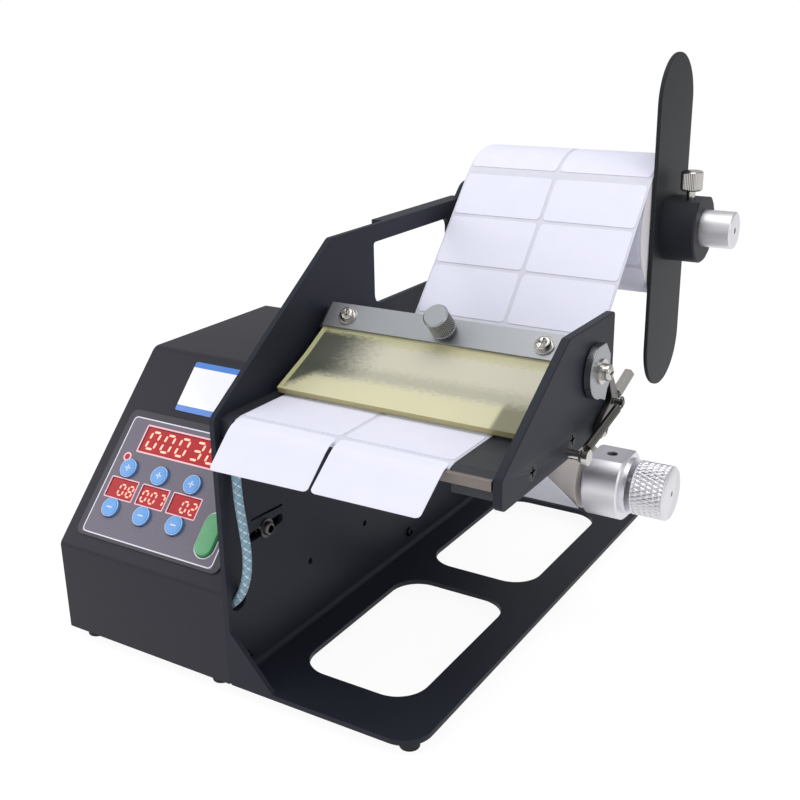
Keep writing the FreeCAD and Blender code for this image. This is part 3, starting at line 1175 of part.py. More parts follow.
def make_guide_rod():
    rod_body = rod_x(0, WEB_X1 + 5.0, GUIDE_ROD_Y, GUIDE_ROD_Z, GUIDE_ROD_RADIUS)
    rod_body = rod_body.cut(rod_x(-1, 10.0, GUIDE_ROD_Y, GUIDE_ROD_Z, 1.6))
    nodes["guide_rod"] = rod_body


def make_power_entry():
    y = HOUSING_DEPTH
    flange = box(INLET_X0 - 2.5, INLET_X0 + INLET_W + 2.5, y, y + 1.8, INLET_Z0 - 2.5, INLET_Z0 + INLET_H + 2.5)
    body = box(INLET_X0 + 0.2, INLET_X0 + INLET_W - 0.2, y - 16, y, INLET_Z0 + 0.2, INLET_Z0 + INLET_H - 0.2)
    inlet = fuse([flange, body])
    mouth = box(INLET_X0 + 1.8, INLET_X0 + INLET_W - 1.8, y - 13, y + 3, INLET_Z0 + 2.0, INLET_Z0 + INLET_H - 2.0)
    inlet = inlet.cut(mouth)
    middle = INLET_X0 + INLET_W / 2
    for dx, dz in ((-7, 9.5), (7, 9.5), (0, 13.5)):
        pin = box(middle + dx - 1, middle + dx + 1, y - 13.5, y - 2, INLET_Z0 + dz - 1.5, INLET_Z0 + dz + 1.5)
        inlet = inlet.fuse(pin)
    inlet = inlet.removeSplitter()

    frame = box(SWITCH_X0 - 1.5, SWITCH_X0 + SWITCH_W + 1.5, y, y + 1.6, SWITCH_Z0 - 1.5,
                SWITCH_Z0 + SWITCH_H + 1.5)
    frame = frame.fuse(box(SWITCH_X0 + 0.2, SWITCH_X0 + SWITCH_W - 0.2, y - 14, y, SWITCH_Z0 + 0.2,
                           SWITCH_Z0 + SWITCH_H - 0.2))
    frame = frame.cut(box(SWITCH_X0 + 1.4, SWITCH_X0 + SWITCH_W - 1.4, y - 8, y + 3, SWITCH_Z0 + 1.4,
                          SWITCH_Z0 + SWITCH_H - 1.4))
    nodes["power_entry"] = Part.makeCompound([inlet, frame.removeSplitter()])
    middle_z = SWITCH_Z0 + SWITCH_H / 2
    half = SWITCH_H / 2 - 2.6
    rocker = sheet_x([(y - 4.0, middle_z - half, 0), (y + 2.2, middle_z - half, 0.5), (y + 0.4, middle_z, 8),
                      (y + 2.2, middle_z + half, 0.5), (y - 4.0, middle_z + half, 0)],
                     SWITCH_X0 + 1.9, SWITCH_X0 + SWITCH_W - 1.9)
    rocker.rotate(V(0, y - ROCKER_DEPTH, middle_z), V(1, 0, 0), ROCKER_TILT)
    nodes["rocker_switch"] = rocker
    base_z = HOUSING_SKIN
    x0 = HOUSING_LEFT + POWER_BOARD_SIDE
    x1 = WALL_LEFT - POWER_BOARD_SIDE
    back = HOUSING_DEPTH - POWER_BOARD_BACK
    front = back - POWER_BOARD_WIDTH
    top = base_z + 6.6
    board = box(x0, x1, front, back, top - 1.6, top)
    legs = [rod(V(x, yy, base_z), V(0, 0, 1), 5, 2.5) for x in (x0 + 4, x1 - 4) for yy in (front + 4, back - 4)]
    parts = [
        box(x0 + 22, x0 + 47, front + 4, back - 4, top, top + 19.4),
        rod(V(x0 + 10, (front + back) / 2, top), V(0, 0, 1), 22, 6),
        rod(V(x1 - 10, (front + back) / 2, top), V(0, 0, 1), 18, 5),
    ]
    nodes["power_board"] = Part.makeCompound([fuse([board] + legs)] + parts)


def make_black_pan_screws():
    screws = [pan_screw(V(0, y, z), V(1, 0, 0), 2.6, 1.6, 1.6, SHEET + 3) for y, z in WALL_SCREWS]
    for seat, out in HOUSING_SCREWS:
        screws.append(pan_screw(seat, out, 3.0, SIDE_SCREW_HEAD, 1.5, 6))
    return screws


nodes["frame_sheet"] = make_frame_sheet()
nodes["housing_shell"] = make_housing()
nodes["housing_base"] = make_housing_base()
nodes["rubber_feet"] = make_feet()
make_panel()
make_drive()
make_head()
CLAMP_CENTRE, CLAMP_AXIS = make_swing_guide()
make_pressure_roller()
make_cam()
make_lever()
make_web()
make_supply()
make_rewind()
make_sensor()
make_guide_rod()
make_power_entry()

for name, shape in nodes.items():
    placed = shape.copy()
    placed.translate(ORIGIN_SHIFT)
    nodes[name] = placed
    placed.exportStep("parts/" + name + ".step")
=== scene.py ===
import bmesh
import bpy
import json
import math
import numpy as np
from mathutils import Matrix, Vector

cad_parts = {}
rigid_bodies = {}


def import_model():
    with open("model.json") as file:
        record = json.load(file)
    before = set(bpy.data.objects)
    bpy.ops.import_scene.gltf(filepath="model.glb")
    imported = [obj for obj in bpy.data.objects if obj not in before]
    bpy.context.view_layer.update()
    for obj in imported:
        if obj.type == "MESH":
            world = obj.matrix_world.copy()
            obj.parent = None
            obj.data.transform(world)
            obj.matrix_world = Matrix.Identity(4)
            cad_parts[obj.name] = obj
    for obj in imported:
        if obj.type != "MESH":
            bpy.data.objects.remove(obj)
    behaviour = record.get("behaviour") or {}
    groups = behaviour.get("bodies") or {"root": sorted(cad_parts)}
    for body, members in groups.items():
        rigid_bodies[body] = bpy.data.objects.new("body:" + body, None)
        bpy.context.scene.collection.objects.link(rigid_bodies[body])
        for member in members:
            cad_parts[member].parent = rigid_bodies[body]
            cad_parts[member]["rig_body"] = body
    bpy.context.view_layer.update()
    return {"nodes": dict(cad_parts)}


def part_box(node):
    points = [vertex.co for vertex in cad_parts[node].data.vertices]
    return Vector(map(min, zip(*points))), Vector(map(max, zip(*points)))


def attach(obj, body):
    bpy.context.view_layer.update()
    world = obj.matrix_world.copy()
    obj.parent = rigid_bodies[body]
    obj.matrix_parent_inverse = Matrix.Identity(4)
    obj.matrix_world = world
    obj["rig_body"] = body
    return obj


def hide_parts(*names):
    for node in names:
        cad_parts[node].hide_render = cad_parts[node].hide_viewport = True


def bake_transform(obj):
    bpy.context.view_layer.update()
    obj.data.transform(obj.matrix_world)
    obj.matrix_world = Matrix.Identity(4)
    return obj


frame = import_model()

# ---------------- the machine's own frame
# Every size below is in millimetres, measured as on the bench: x = 0 is the right face of the upright
# plate, y = 0 its front edge, z = 0 the underside of the bent sheet.
MM = 0.001
BASE_WIDTH = 94.0
sheet_low, sheet_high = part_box("frame_sheet")
machine_origin = np.array([sheet_high.x - BASE_WIDTH * MM, sheet_low.y, sheet_low.z])


def placed(x, y, z):
    """Machine millimetres, as numbers or whole arrays, to metres in the row's frame."""
    return machine_origin + np.stack(np.broadcast_arrays(x, y, z), -1) * MM


def extent(node):
    """A CAD node in machine millimetres: lowest and highest corner, middle, and half of its height."""
    low, high = [(np.array(corner) - machine_origin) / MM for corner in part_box(node)]
    return low, high, (low + high) / 2, (high[2] - low[2]) / 2


# ---------------- camera
# A short telephoto from the right and above, turned a little about its own axis.
CAMERA_PLACE = (288.8, -320.9, 284.6)
CAMERA_TURN = 31.861
CAMERA_PITCH = 19.595
CAMERA_ROLL = -0.984
PICTURE_PIXELS = 800
FOCAL_PIXELS = 1117.1
SENSOR = 36.0

camera_data = bpy.data.cameras.new("camera")
camera_data.sensor_width = SENSOR
camera_data.lens = FOCAL_PIXELS / PICTURE_PIXELS * SENSOR
camera = bpy.data.objects.new("camera", camera_data)
camera.matrix_world = (
    Matrix.Translation(placed(*CAMERA_PLACE))
    @ Matrix.Rotation(math.radians(CAMERA_TURN), 4, "Z")
    @ Matrix.Rotation(math.radians(90 - CAMERA_PITCH), 4, "X")
    @ Matrix.Rotation(math.radians(CAMERA_ROLL), 4, "Z")
)
bpy.context.scene.collection.objects.link(camera)
bpy.context.scene.camera = camera
bpy.context.scene.view_settings.view_transform = "Standard"


# ---------------- sensor lead
# A soft lead in a woven polyester sleeve, grey and white with a pale blue tracer. It hangs from the gap
# sensor under the table, and goes through the oval hole of the upright plate to its clip.
LEAD_RADIUS = 2.0
LEAD_POINTS = [(-22.0, 8.4, 31.0), (-11.0, 8.4, 31.0), (0.2, 7.6, 39.8), (5.6, 7.2, 51.0),
               (6.4, 7.9, 64.0), (5.4, 7.0, 78.0), (3.4, 7.4, 92.0), (3.4, 7.4, 106.0)]
LEAD_SIDES = 48
STRAND_PITCH = 0.85
STRANDS_ROUND = 12
STRAND_DEPTH = 0.10
TRACER_EVERY = 5.0      # strands of one hand, and the share of one that is white
TRACER_GAP = 0.99
FLECK_EVERY = 4.0       # strands of the other hand, and the share of one that is grey
FLECK_WIDTH = 0.8


def linear(code):
    """An sRGB hex code as linear red, green, blue and alpha."""
    channels = [int(code[i:i + 2], 16) / 255 for i in (1, 3, 5)]
    return [c / 12.92 if c <= 0.04045 else ((c + 0.055) / 1.055) ** 2.4 for c in channels] + [1.0]


def add_node(material, kind, inputs, **settings):
    """Adds a shader node with its own settings; each input is a value, or a socket that is linked to it."""
    node = material.node_tree.nodes.new("ShaderNode" + kind)
    for name, value in settings.items():
        setattr(node, name, value)
    for name, value in inputs.items():
        if isinstance(value, bpy.types.NodeSocket):
            material.node_tree.links.new(value, node.inputs[name])
        else:
            node.inputs[name].default_value = value
    return node


def new_material(name, **values):
    """A material with one Principled shader and the values of its single sockets."""
    material = bpy.data.materials.new(name)
    material.use_nodes = True
    for socket, value in values.items():
        socket = material.node_tree.nodes["Principled BSDF"].inputs[socket.replace("_", " ")]
        socket.default_value = linear(value) if isinstance(value, str) else value
    return material


def feed(material, output, socket):
    """Links an output to a socket of the material's shader."""
    material.node_tree.links.new(output, material.node_tree.nodes["Principled BSDF"].inputs[socket])


def computed(material, operation, first, second=0.0):
    """The result of one sum; each term is a number or a socket."""
    return add_node(material, "Math", {0: first, 1: second}, operation=operation).outputs[0]


def blended(material, share, first, second):
    """Two colours mixed by a share; a colour is a hex code, a list or another node's output."""
    ends = [linear(c) if isinstance(c, str) else c for c in (first, second)]
    return add_node(material, "Mix", {"Factor": share, "A": ends[0], "B": ends[1]},
                    data_type="RGBA").outputs["Result"]


def surface_place(material):
    """The place on a mapped surface: both numbers together, then across, then up or along."""
    place = add_node(material, "UVMap", {}, uv_map="surface").outputs["UV"]
    parts = add_node(material, "SeparateXYZ", {"Vector": place}).outputs
    return place, parts["X"], parts["Y"]


def rows_of(items, what):
    """One property of all the vertices or faces of a mesh, as rows of three."""
    values = np.zeros(len(items) * 3)
    items.foreach_get(what, values)
    return values.reshape(-1, 3)


def spline_points(points, resolution):
    """The line of a NURBS spline through the route, read off with no bevel."""
    curve = bpy.data.curves.new("route", "CURVE")
    curve.dimensions = "3D"
    curve.resolution_u = resolution
    spline = curve.splines.new("NURBS")
    spline.points.add(len(points) - 1)
    for target, point in zip(spline.points, placed(*np.array(points).T)):
        target.co = (*point, 1.0)
    spline.order_u = 3
    spline.use_endpoint_u = True
    holder = bpy.data.objects.new("route", curve)
    mesh = bpy.data.meshes.new_from_object(holder)
    bpy.data.objects.remove(holder)
    return rows_of(mesh.vertices, "co")


def distances(line):
    """Distance of each point of a line from its start, along it."""
    return np.concatenate([[0], np.cumsum(np.linalg.norm(np.diff(line, axis=0), axis=1))])


def map_surface(mesh, uv):
    """Gives each corner of a mesh its vertex's place on the surface."""
    corners = np.zeros(len(mesh.loops), int)
    mesh.loops.foreach_get("vertex_index", corners)
    layer = mesh.uv_layers.get("surface") or mesh.uv_layers.new(name="surface")
    layer.data.foreach_set("uv", uv.reshape(-1, 2)[corners].astype(np.float32).ravel())


def mesh_from_grids(name, grids, uv=None):
    """One mesh from grids of points (rows, columns, 3) in metres, whose rows are closed loops. Rows that
    shrink to a point or a line are merged there, and faces are turned outwards."""
    mesh = bpy.data.meshes.new(name)
    points = []
    faces = []
    start = 0
    for grid in grids:
        rows, columns = grid.shape[:2]
        i, j = np.meshgrid(np.arange(rows - 1) * columns, np.arange(columns), indexing="ij")
        after = (j + 1) % columns
        quads = np.stack([i + j, i + after, i + columns + after, i + columns + j], -1)
        points.append(grid.reshape(-1, 3))
        faces.append(quads.reshape(-1, 4) + start)
        start += rows * columns
    mesh.from_pydata(np.concatenate(points).tolist(), [], np.concatenate(faces).tolist())
    if uv is not None:
        map_surface(mesh, uv)
    shape = bmesh.new()
    shape.from_mesh(mesh)
    bmesh.ops.remove_doubles(shape, verts=shape.verts, dist=1e-7)
    bmesh.ops.recalc_face_normals(shape, faces=shape.faces)
    shape.to_mesh(mesh)
    shape.free()
    return mesh


def add_piece(name, shape, materials, body, node=None, crease=35.0, uv=None):
    """Puts a mesh, or the mesh of a list of grids, in the scene, smooth up to a crease angle. It rides on
    its body, stands for a CAD node and has a slot, where these are given."""
    mesh = mesh_from_grids(name, shape, uv) if isinstance(shape, list) else shape
    for material in materials:
        mesh.materials.append(material)
    mesh.shade_smooth()
    mesh.set_sharp_from_angle(angle=math.radians(crease))
    piece = bpy.data.objects.new(name, mesh)
    bpy.context.scene.collection.objects.link(piece)
    if body:
        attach(piece, body)
    if node:
        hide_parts(node)
    return piece


def tube_grid(line, radius, sides, side_way):
    """A tube: circles of the given radius (one, or one for each point and side) square to the line.
    The first side of each circle is the cross product of the line's direction and side_way."""
    along = np.gradient(line, axis=0)
    along /= np.linalg.norm(along, axis=1, keepdims=True)
    first = np.cross(along, side_way)
    first /= np.linalg.norm(first, axis=1, keepdims=True)
    second = np.cross(along, first)
    turn = np.linspace(0, 2 * np.pi, sides, endpoint=False)
    ring = np.cos(turn)[None, :, None] * first[:, None] + np.sin(turn)[None, :, None] * second[:, None]
    return line[:, None] + ring * np.asarray(radius)[..., None]


def with_ends(rows, centres=None):
    """Closes a form with a row at each end that shrinks to its middle, or to the point given for it."""
    if centres is None:
        centres = rows.mean(1)[[0, -1]]
    ends = np.repeat(np.asarray(centres)[:, None], rows.shape[1], 1)
    return np.concatenate([ends[:1], rows, ends[1:]])


lead_line = spline_points(LEAD_POINTS, 72)
lead_steps = distances(lead_line) / MM
turns = np.linspace(0, 1, LEAD_SIDES, endpoint=False)
strand = STRANDS_ROUND * turns[None, :]
travel = lead_steps[:, None] / STRAND_PITCH
relief = STRAND_DEPTH * np.maximum(np.abs(np.sin(np.pi * (strand + travel))),
                                   np.abs(np.sin(np.pi * (strand - travel))))
lead_grid = tube_grid(lead_line, (LEAD_RADIUS - STRAND_DEPTH + relief) * MM, LEAD_SIDES, (0, 1, 0))
lead_uv = np.stack(np.broadcast_arrays(turns[None, :], lead_steps[:, None]), -1)
lead_uv = np.concatenate([lead_uv[:1], lead_uv, lead_uv[-1:]])

# Woven polyester: fine crossing strands, matt, with a soft sheen where they stand up.
sleeve = new_material("woven_polyester_sleeve", Roughness=0.62, Sheen_Weight=0.25)
_, round_lead, along_lead = surface_place(sleeve)
around = computed(sleeve, "MULTIPLY", round_lead, float(STRANDS_ROUND))
run = computed(sleeve, "MULTIPLY", along_lead, 1 / STRAND_PITCH)
one_hand = computed(sleeve, "FLOORED_MODULO", computed(sleeve, "ADD", around, run), TRACER_EVERY)
tracer = blended(sleeve, computed(sleeve, "LESS_THAN", one_hand, TRACER_GAP), "#86b4cc", "#e2e8ec")
other_hand = computed(sleeve, "FLOORED_MODULO", computed(sleeve, "SUBTRACT", around, run), FLECK_EVERY)
woven = blended(sleeve, computed(sleeve, "LESS_THAN", other_hand, FLECK_WIDTH), tracer, "#8f979d")
feed(sleeve, woven, "Base Color")

lead = add_piece("sensor_lead_sleeve", [with_ends(lead_grid, lead_line[[0, -1]])], [sleeve], "machine_frame",
                 "sensor_lead", crease=180.0, uv=lead_uv)


# ---------------- bent frame sheet and right plate
# Laser-cut sheet steel, the frame bent and the right plate flat, with a small radius on every cut edge,
# under a black polyester powder coat. Its fine sandy texture catches the light on the edges.
def bumped(material, height, strength, depth):
    """A bump of that height, its depth in millimetres."""
    bump = {"Height": height, "Strength": strength, "Distance": depth * MM}
    feed(material, add_node(material, "Bump", bump).outputs["Normal"], "Normal")


def textured(name, first, second, scale, detail=3.0, lumpy=0.5, stretch=None, bump=None, gloss=None,
             into="Base Color", **values):
    """Two shades mixed by noise in object space, which may be stretched. The same noise may make a bump,
    given as strength and depth, and move the roughness between the two ends of gloss."""
    made = new_material(name, **values)
    where = add_node(made, "TexCoord", {}).outputs["Object"]
    if stretch:
        where = add_node(made, "Mapping", {"Vector": where, "Scale": stretch}).outputs["Vector"]
    grain = add_node(made, "TexNoise", {"Vector": where, "Scale": scale, "Detail": detail,
                                        "Roughness": lumpy}).outputs["Fac"]
    feed(made, blended(made, grain, first, second), into)
    if bump:
        bumped(made, grain, *bump)
    if gloss:
        ends = {"Value": grain, "To Min": gloss[0], "To Max": gloss[1]}
        feed(made, add_node(made, "MapRange", ends).outputs["Result"], "Roughness")
    return made


def powder_coat(name, dark, light):
    """Powder coat: two close shades in fine grains of 0.5 mm, and a sandy bump of the same grain."""
    return textured(name, dark, light, 1 / (0.5 * MM), lumpy=0.6, bump=(0.30, 0.06), Roughness=0.5,
                    Specular_IOR_Level=0.2)


def softened(node, edge, material, crease=30.0):
    """The node's own solid with its triangles merged into faces, and its sharp edges broken by a round
    of that size in millimetres. It stands for the node."""
    mesh = frame["nodes"][node].data.copy()
    mesh.materials.clear()
    shape = bmesh.new()
    shape.from_mesh(mesh)
    bmesh.ops.remove_doubles(shape, verts=shape.verts, dist=2e-6)
    bmesh.ops.dissolve_limit(shape, angle_limit=math.radians(1.0), verts=shape.verts, edges=shape.edges)
    shape.to_mesh(mesh)
    shape.free()
    body = frame["nodes"][node]["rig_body"]
    piece = add_piece(node + "_finished", mesh, [material], body, node, crease)
    if edge > 0:
        bevel = piece.modifiers.new("broken_edges", "BEVEL")
        bevel.width = edge * MM
        bevel.segments = 2
        bevel.limit_method = "ANGLE"
        bevel.angle_limit = math.radians(crease)
        bevel.harden_normals = True
        bevel.use_clamp_overlap = True
    return piece


frame_coat = powder_coat("black_powder_coat", "#1b1d26", "#2d303c")
softened("frame_sheet", 0.45, frame_coat)
softened("right_plate", 0.35, frame_coat)


# ---------------- rubber feet
# Turned nitrile rubber buttons under the base and the housing, matt and slightly dusty.
rubber = textured("moulded_nitrile_rubber", "#141415", "#2b2b2c", 400.0, 4.0, Roughness=0.78)
softened("rubber_feet", 0.4, rubber)


# ---------------- drive housing
# One folded steel shell with a sloped key panel, and a tray that closes it underneath. Both have a powder
# coat like the frame's, in an even violet black whose violet is painted light: the bluish light the slope
# catches where it faces up, laid over the whole housing.
# The violet in these two shades is painted light, not the coat's own colour.
housing_coat = powder_coat("black_powder_coat_painted_violet_light", "#25252c", "#35343e")
softened("housing_shell", 0.3, housing_coat)
softened("housing_base", 0.2, housing_coat)


# ---------------- key panel
# A polyester membrane, printed from behind in grey violet inside a white line and darker outside it, is
# glued to the slope. Windows let the red displays through, and round keys stand in its holes.
PANEL_CORNER = np.array([-103.0, 0, 45.0])
SLOPE = math.atan2(78.0, 74.6)
SLOPE_UP = np.array([0, math.cos(SLOPE), math.sin(SLOPE)])
SLOPE_OUT = np.array([0, -math.sin(SLOPE), math.cos(SLOPE)])
PRINT_U = (10.3, 90.0)
PRINT_V = (8.6, 69.5)
PRINT_CORNER = 2.6
MEMBRANE_TOP = 0.8
INK = 0.06
DISPLAY_U = (21.2, 70.0)
DISPLAY_V = (52.8, 65.8)
SMALL_DISPLAYS_U = ((14.0, 30.5), (33.8, 50.0), (53.2, 69.6))
SMALL_DISPLAYS_V = (27.8, 37.4)
ENTER_U = (77.0, 87.0)
ENTER_V = (12.7, 33.2)
ENTER_GAP = 0.95
LINE_WIDTH = 0.6
DISPLAY_LINE = 0.85


def on_panel(u, v, h):
    """u to the right and v up the slope from its lower left fold, h out of it, in millimetres."""
    u, v, h = [number[..., None] for number in np.broadcast_arrays(u, v, h)]
    return machine_origin + (PANEL_CORNER + u * (1.0, 0, 0) + v * SLOPE_UP + h * SLOPE_OUT) * MM


def within(material, value, low, high):
    """1 where a value lies between two limits, and 0 outside them."""
    away = computed(material, "ABSOLUTE", computed(material, "SUBTRACT", value, (low + high) / 2))
    return computed(material, "LESS_THAN", away, (high - low) / 2)


def panel_uv(piece):
    """Gives each corner of a mesh on the slope its u and v in millimetres."""
    local = (rows_of(piece.data.vertices, "co") - machine_origin) / MM - PANEL_CORNER
    map_surface(piece.data, np.stack([local[:, 0], local @ SLOPE_UP], -1))


membrane = new_material("grained_polyester_membrane", Roughness=0.42, Specular_IOR_Level=0.4)
place_on, across, upward = surface_place(membrane)
field = computed(membrane, "MULTIPLY", within(membrane, across, *PRINT_U), within(membrane, upward, *PRINT_V))
speckle = add_node(membrane, "TexNoise", {"Vector": place_on, "Scale": 1.6, "Detail": 4.0}).outputs[0]
inner_shade = blended(membrane, speckle, "#57515f", "#7d7788")
feed(membrane, blended(membrane, field, "#35323d", inner_shade), "Base Color")
bumped(membrane, speckle, 0.15, 0.05)
panel_uv(softened("control_membrane", 0.25, membrane))


def rounded_loop(u, v, radius, per_corner=8):
    """Points round a rectangle with round corners: each corner's quarter circle in turn."""
    quarter = np.linspace(0, np.pi / 2, per_corner)
    centres = [(u[1] - radius, v[1] - radius), (u[0] + radius, v[1] - radius),
               (u[0] + radius, v[0] + radius), (u[1] - radius, v[0] + radius)]
    turn = [quarter + i * np.pi / 2 for i in range(4)]
    return np.concatenate([np.stack([cu + radius * np.cos(a), cv + radius * np.sin(a)], -1)
                           for a, (cu, cv) in zip(turn, centres)])


def grown_loop(u, v, by, radius, per_corner):
    """The rounded loop of a rectangle that is wider by this much on every side."""
    return rounded_loop((u[0] - by, u[1] + by), (v[0] - by, v[1] + by), radius, per_corner)


def printed_line(loop, width, base=MEMBRANE_TOP, height=INK):
    """A closed line of ink: a flat four-sided bar carried round the loop, to its inside."""
    ahead = np.roll(loop, -1, 0) - np.roll(loop, 1, 0)
    ahead /= np.linalg.norm(ahead, axis=1, keepdims=True)
    inward = loop + np.stack([-ahead[:, 1], ahead[:, 0]], -1) * width
    rows = [on_panel(*edge.T, h) for edge, h in ((loop, base), (inward, base), (inward, base + height),
                                                 (loop, base + height), (loop, base))]
    return np.stack(rows)


ink_lines = [printed_line(rounded_loop(PRINT_U, PRINT_V, PRINT_CORNER), LINE_WIDTH),
             printed_line(grown_loop(ENTER_U, ENTER_V, ENTER_GAP, 5.94, 16), LINE_WIDTH)]
windows = [(DISPLAY_U, DISPLAY_V, DISPLAY_LINE)]
windows += [(u, SMALL_DISPLAYS_V, LINE_WIDTH) for u in SMALL_DISPLAYS_U]
frame_lines = [printed_line(grown_loop(u, v, width, 0.7, 4), width * 0.96) for u, v, width in windows]
white_ink = new_material("white_screen_ink", Roughness=0.5, Base_Color="#e6e4f2")
pink_ink = new_material("pink_screen_ink", Roughness=0.5, Base_Color="#ffc9d4")
add_piece("panel_border_print", ink_lines, [white_ink], "machine_frame")
add_piece("display_frame_print", frame_lines, [pink_ink], "machine_frame")


# ---------------- displays
# Red acrylic windows over seven-segment digits; the windows themselves have a painted red glow. Each
# segment is a slim lozenge that glows, yellower at its core than the red of the window; the small displays
# light only their last digits.
SEGMENTS = {"0": "abcdef", "2": "abged", "3": "abgcd", "7": "abc", "8": "abcdefg", " ": ""}
# each segment's middle in half widths and half heights, and whether it stands upright
SEGMENT_PLACES = {"a": (0, 1, False), "b": (1, 0.5, True), "c": (1, -0.5, True), "d": (0, -1, False),
                  "e": (-1, -0.5, True), "f": (-1, 0.5, True), "g": (0, 0, False)}
WINDOW_TOP = 0.4
DIGIT_LEAN = 0.12
SEGMENT_DEPTH = 0.12


def raised_print(loop, middle, base, height):
    """A slab whose outline (u, v) stands at two heights, closed by rows that shrink to its middle."""
    still = np.zeros(len(loop)) + middle[0]
    return np.stack([on_panel(still, middle[1], base), on_panel(*loop.T, base),
                     on_panel(*loop.T, base + height), on_panel(still, middle[1], base + height)])


def lozenge(u, v, length, thick, upright, row_v):
    """A bar with pointed ends: two rows of four corners, squeezed at both ends, that lean with the row."""
    s = np.array([-1, -1 + thick / length, 1 - thick / length, 1]) * length / 2
    half = np.array([0.02, 1, 1, 0.02]) * thick / 2
    loop = np.concatenate([np.stack([s, -half], -1), np.stack([s, half], -1)[::-1]])
    if upright:
        loop = loop[:, ::-1]
    loop = loop + (u, v)
    loop[:, 0] += (loop[:, 1] - row_v) * DIGIT_LEAN
    return raised_print(loop, (u + (v - row_v) * DIGIT_LEAN, v), WINDOW_TOP, SEGMENT_DEPTH)


def digit_grids(text, u0, row_v, pitch, width, height, thick):
    """The lit segments of a row of digits that starts at u0."""
    grids = []
    for i, character in enumerate(text):
        for segment in SEGMENTS[character]:
            across, up, upright = SEGMENT_PLACES[segment]
            length = (height / 2 if upright else width) - thick * 1.1
            u = u0 + pitch * (i + 0.5) + across * (width / 2)
            grids.append(lozenge(u, row_v + up * height / 2, length, thick, upright, row_v))
    return grids


# The window's red is given as emission: a painted glow on a part that is no lamp.
red_window_painted_glow = textured("red_acrylic_window_painted_glow", "#a80c18", "#d0142a", 160.0, 2.0, into="Emission Color",
                      Roughness=0.3, Specular_IOR_Level=0.25, Emission_Strength=0.6, Base_Color="#6a0810")
softened("digit_displays", 0.1, red_window_painted_glow)
lit = new_material("lit_segment", Roughness=0.4, Emission_Strength=1.0, Base_Color="#ff9080",
                   Emission_Color="#ffc0a4")
digits = digit_grids("00030", DISPLAY_U[0] + 1.4, sum(DISPLAY_V) / 2, pitch=9.3, width=5.0, height=8.8,
                     thick=1.05)
small_v = sum(SMALL_DISPLAYS_V) / 2 - 0.4
for text, u in zip((" 08", "007", " 02"), SMALL_DISPLAYS_U):
    digits += digit_grids(text, u[0] + 0.4, small_v, pitch=5.2, width=2.9, height=5.4, thick=0.72)
add_piece("lit_digits", digits, [lit], "machine_frame")


# ---------------- keys
# Moulded polycarbonate caps, sky blue with a white plus or minus, and one long green key. A pale ring is
# printed round each of them, on the cap's own rim.
KEYS_U = (21.5, 41.2, 61.4)
KEY_ROWS = (("plus", 43.0), ("minus", 22.6))
KEY_RADIUS = 4.7
KEY_TOP = MEMBRANE_TOP + 1.6
SIGN_LENGTH = 3.2
SIGN_WIDTH = 0.62
RIM_WIDTH = 0.55
RIM_DROP = 0.62         # from the cap's top to the foot of its ring
RIM_HEIGHT = 0.45


def plastic(name, colour, deeper):
    """Moulded polycarbonate: an even colour that is a little deeper in soft patches of noise."""
    return textured(name, colour, deeper, 220.0, 2.0, Roughness=0.34, Coat_Weight=0.25, Coat_Roughness=0.2)


def ring_loop(u, v, radius):
    """Points round a circle on the panel."""
    circle = np.linspace(0, 2 * np.pi, 48, endpoint=False)
    return np.stack([u + radius * np.cos(circle), v + radius * np.sin(circle)], -1)


def bar_on_key(u, v, width, height):
    """A short raised bar of ink on a key's cap."""
    loop = rounded_loop((u - width / 2, u + width / 2), (v - height / 2, v + height / 2), 0.15, 3)
    return raised_print(loop, (u, v), KEY_TOP, INK)


blue_plastic = plastic("sky_blue_polycarbonate", "#58a5ec", "#468fd8")
green_plastic = plastic("green_polycarbonate", "#45a868", "#368f56")
for sign, v in KEY_ROWS:
    for number, u in enumerate(KEYS_U, 1):
        key = sign + "_key_" + str(number)
        softened(key, 0.12, blue_plastic)
        bars = [bar_on_key(u, v, SIGN_LENGTH, SIGN_WIDTH)]
        if sign == "plus":
            bars.append(bar_on_key(u, v, SIGN_WIDTH, SIGN_LENGTH))
        rim = ring_loop(u, v, KEY_RADIUS - 0.1)
        bars.append(printed_line(rim, RIM_WIDTH, KEY_TOP - RIM_DROP, RIM_HEIGHT))
        add_piece(key + "_mark", bars, [white_ink], sign + "_button_" + str(number))
softened("enter_key", 0.12, green_plastic)


# ---------------- indicator light and blank sticker
# A pale pink window in the membrane for the light, and a paper sticker with a blue band along its top
# and its bottom edge, left blank between them.
LED_PLACE = (16.8, 48.6)
STICKER_V = (77.0, 103.5)
STICKER_BAND = 3.0
add_piece("indicator_window", [printed_line(ring_loop(*LED_PLACE, 2.3), 1.0)], [pink_ink], "machine_frame")

sticker = new_material("coated_sticker_paper", Roughness=0.3, Coat_Weight=0.3)
blank = within(sticker, surface_place(sticker)[2], STICKER_V[0] + STICKER_BAND, STICKER_V[1] - STICKER_BAND)
feed(sticker, blended(sticker, blank, "#3f7fd6", "#f6f7fd"), "Base Color")
panel_uv(softened("blank_sticker", 0.0, sticker))


# ---------------- everything in the housing, and its back
# Moulded black plastic for the inlet and the rocker switch, which sit in the back wall, and for the gap
# sensor. The two circuit boards on their posts have a green solder mask.
def give(material, *nodes):
    """A CAD node keeps its own mesh and takes this material."""
    for node in nodes:
        slots = frame["nodes"][node].data.materials
        slots.clear()
        slots.append(material)


abs_black = textured("moulded_black_abs", "#17171a", "#26262a", 900.0, Roughness=0.38)
for node in ("power_entry", "rocker_switch", "gap_sensor"):
    softened(node, 0.25, abs_black)
solder_mask = new_material("green_solder_mask", Roughness=0.35)
where = add_node(solder_mask, "TexCoord", {}).outputs["Object"]
tracks = add_node(solder_mask, "TexVoronoi", {"Vector": where, "Scale": 260.0}, distance="CHEBYCHEV")
feed(solder_mask, blended(solder_mask, tracks.outputs["Distance"], "#0e5a2c", "#1e7a40"), "Base Color")
give(solder_mask, "control_board", "power_board")


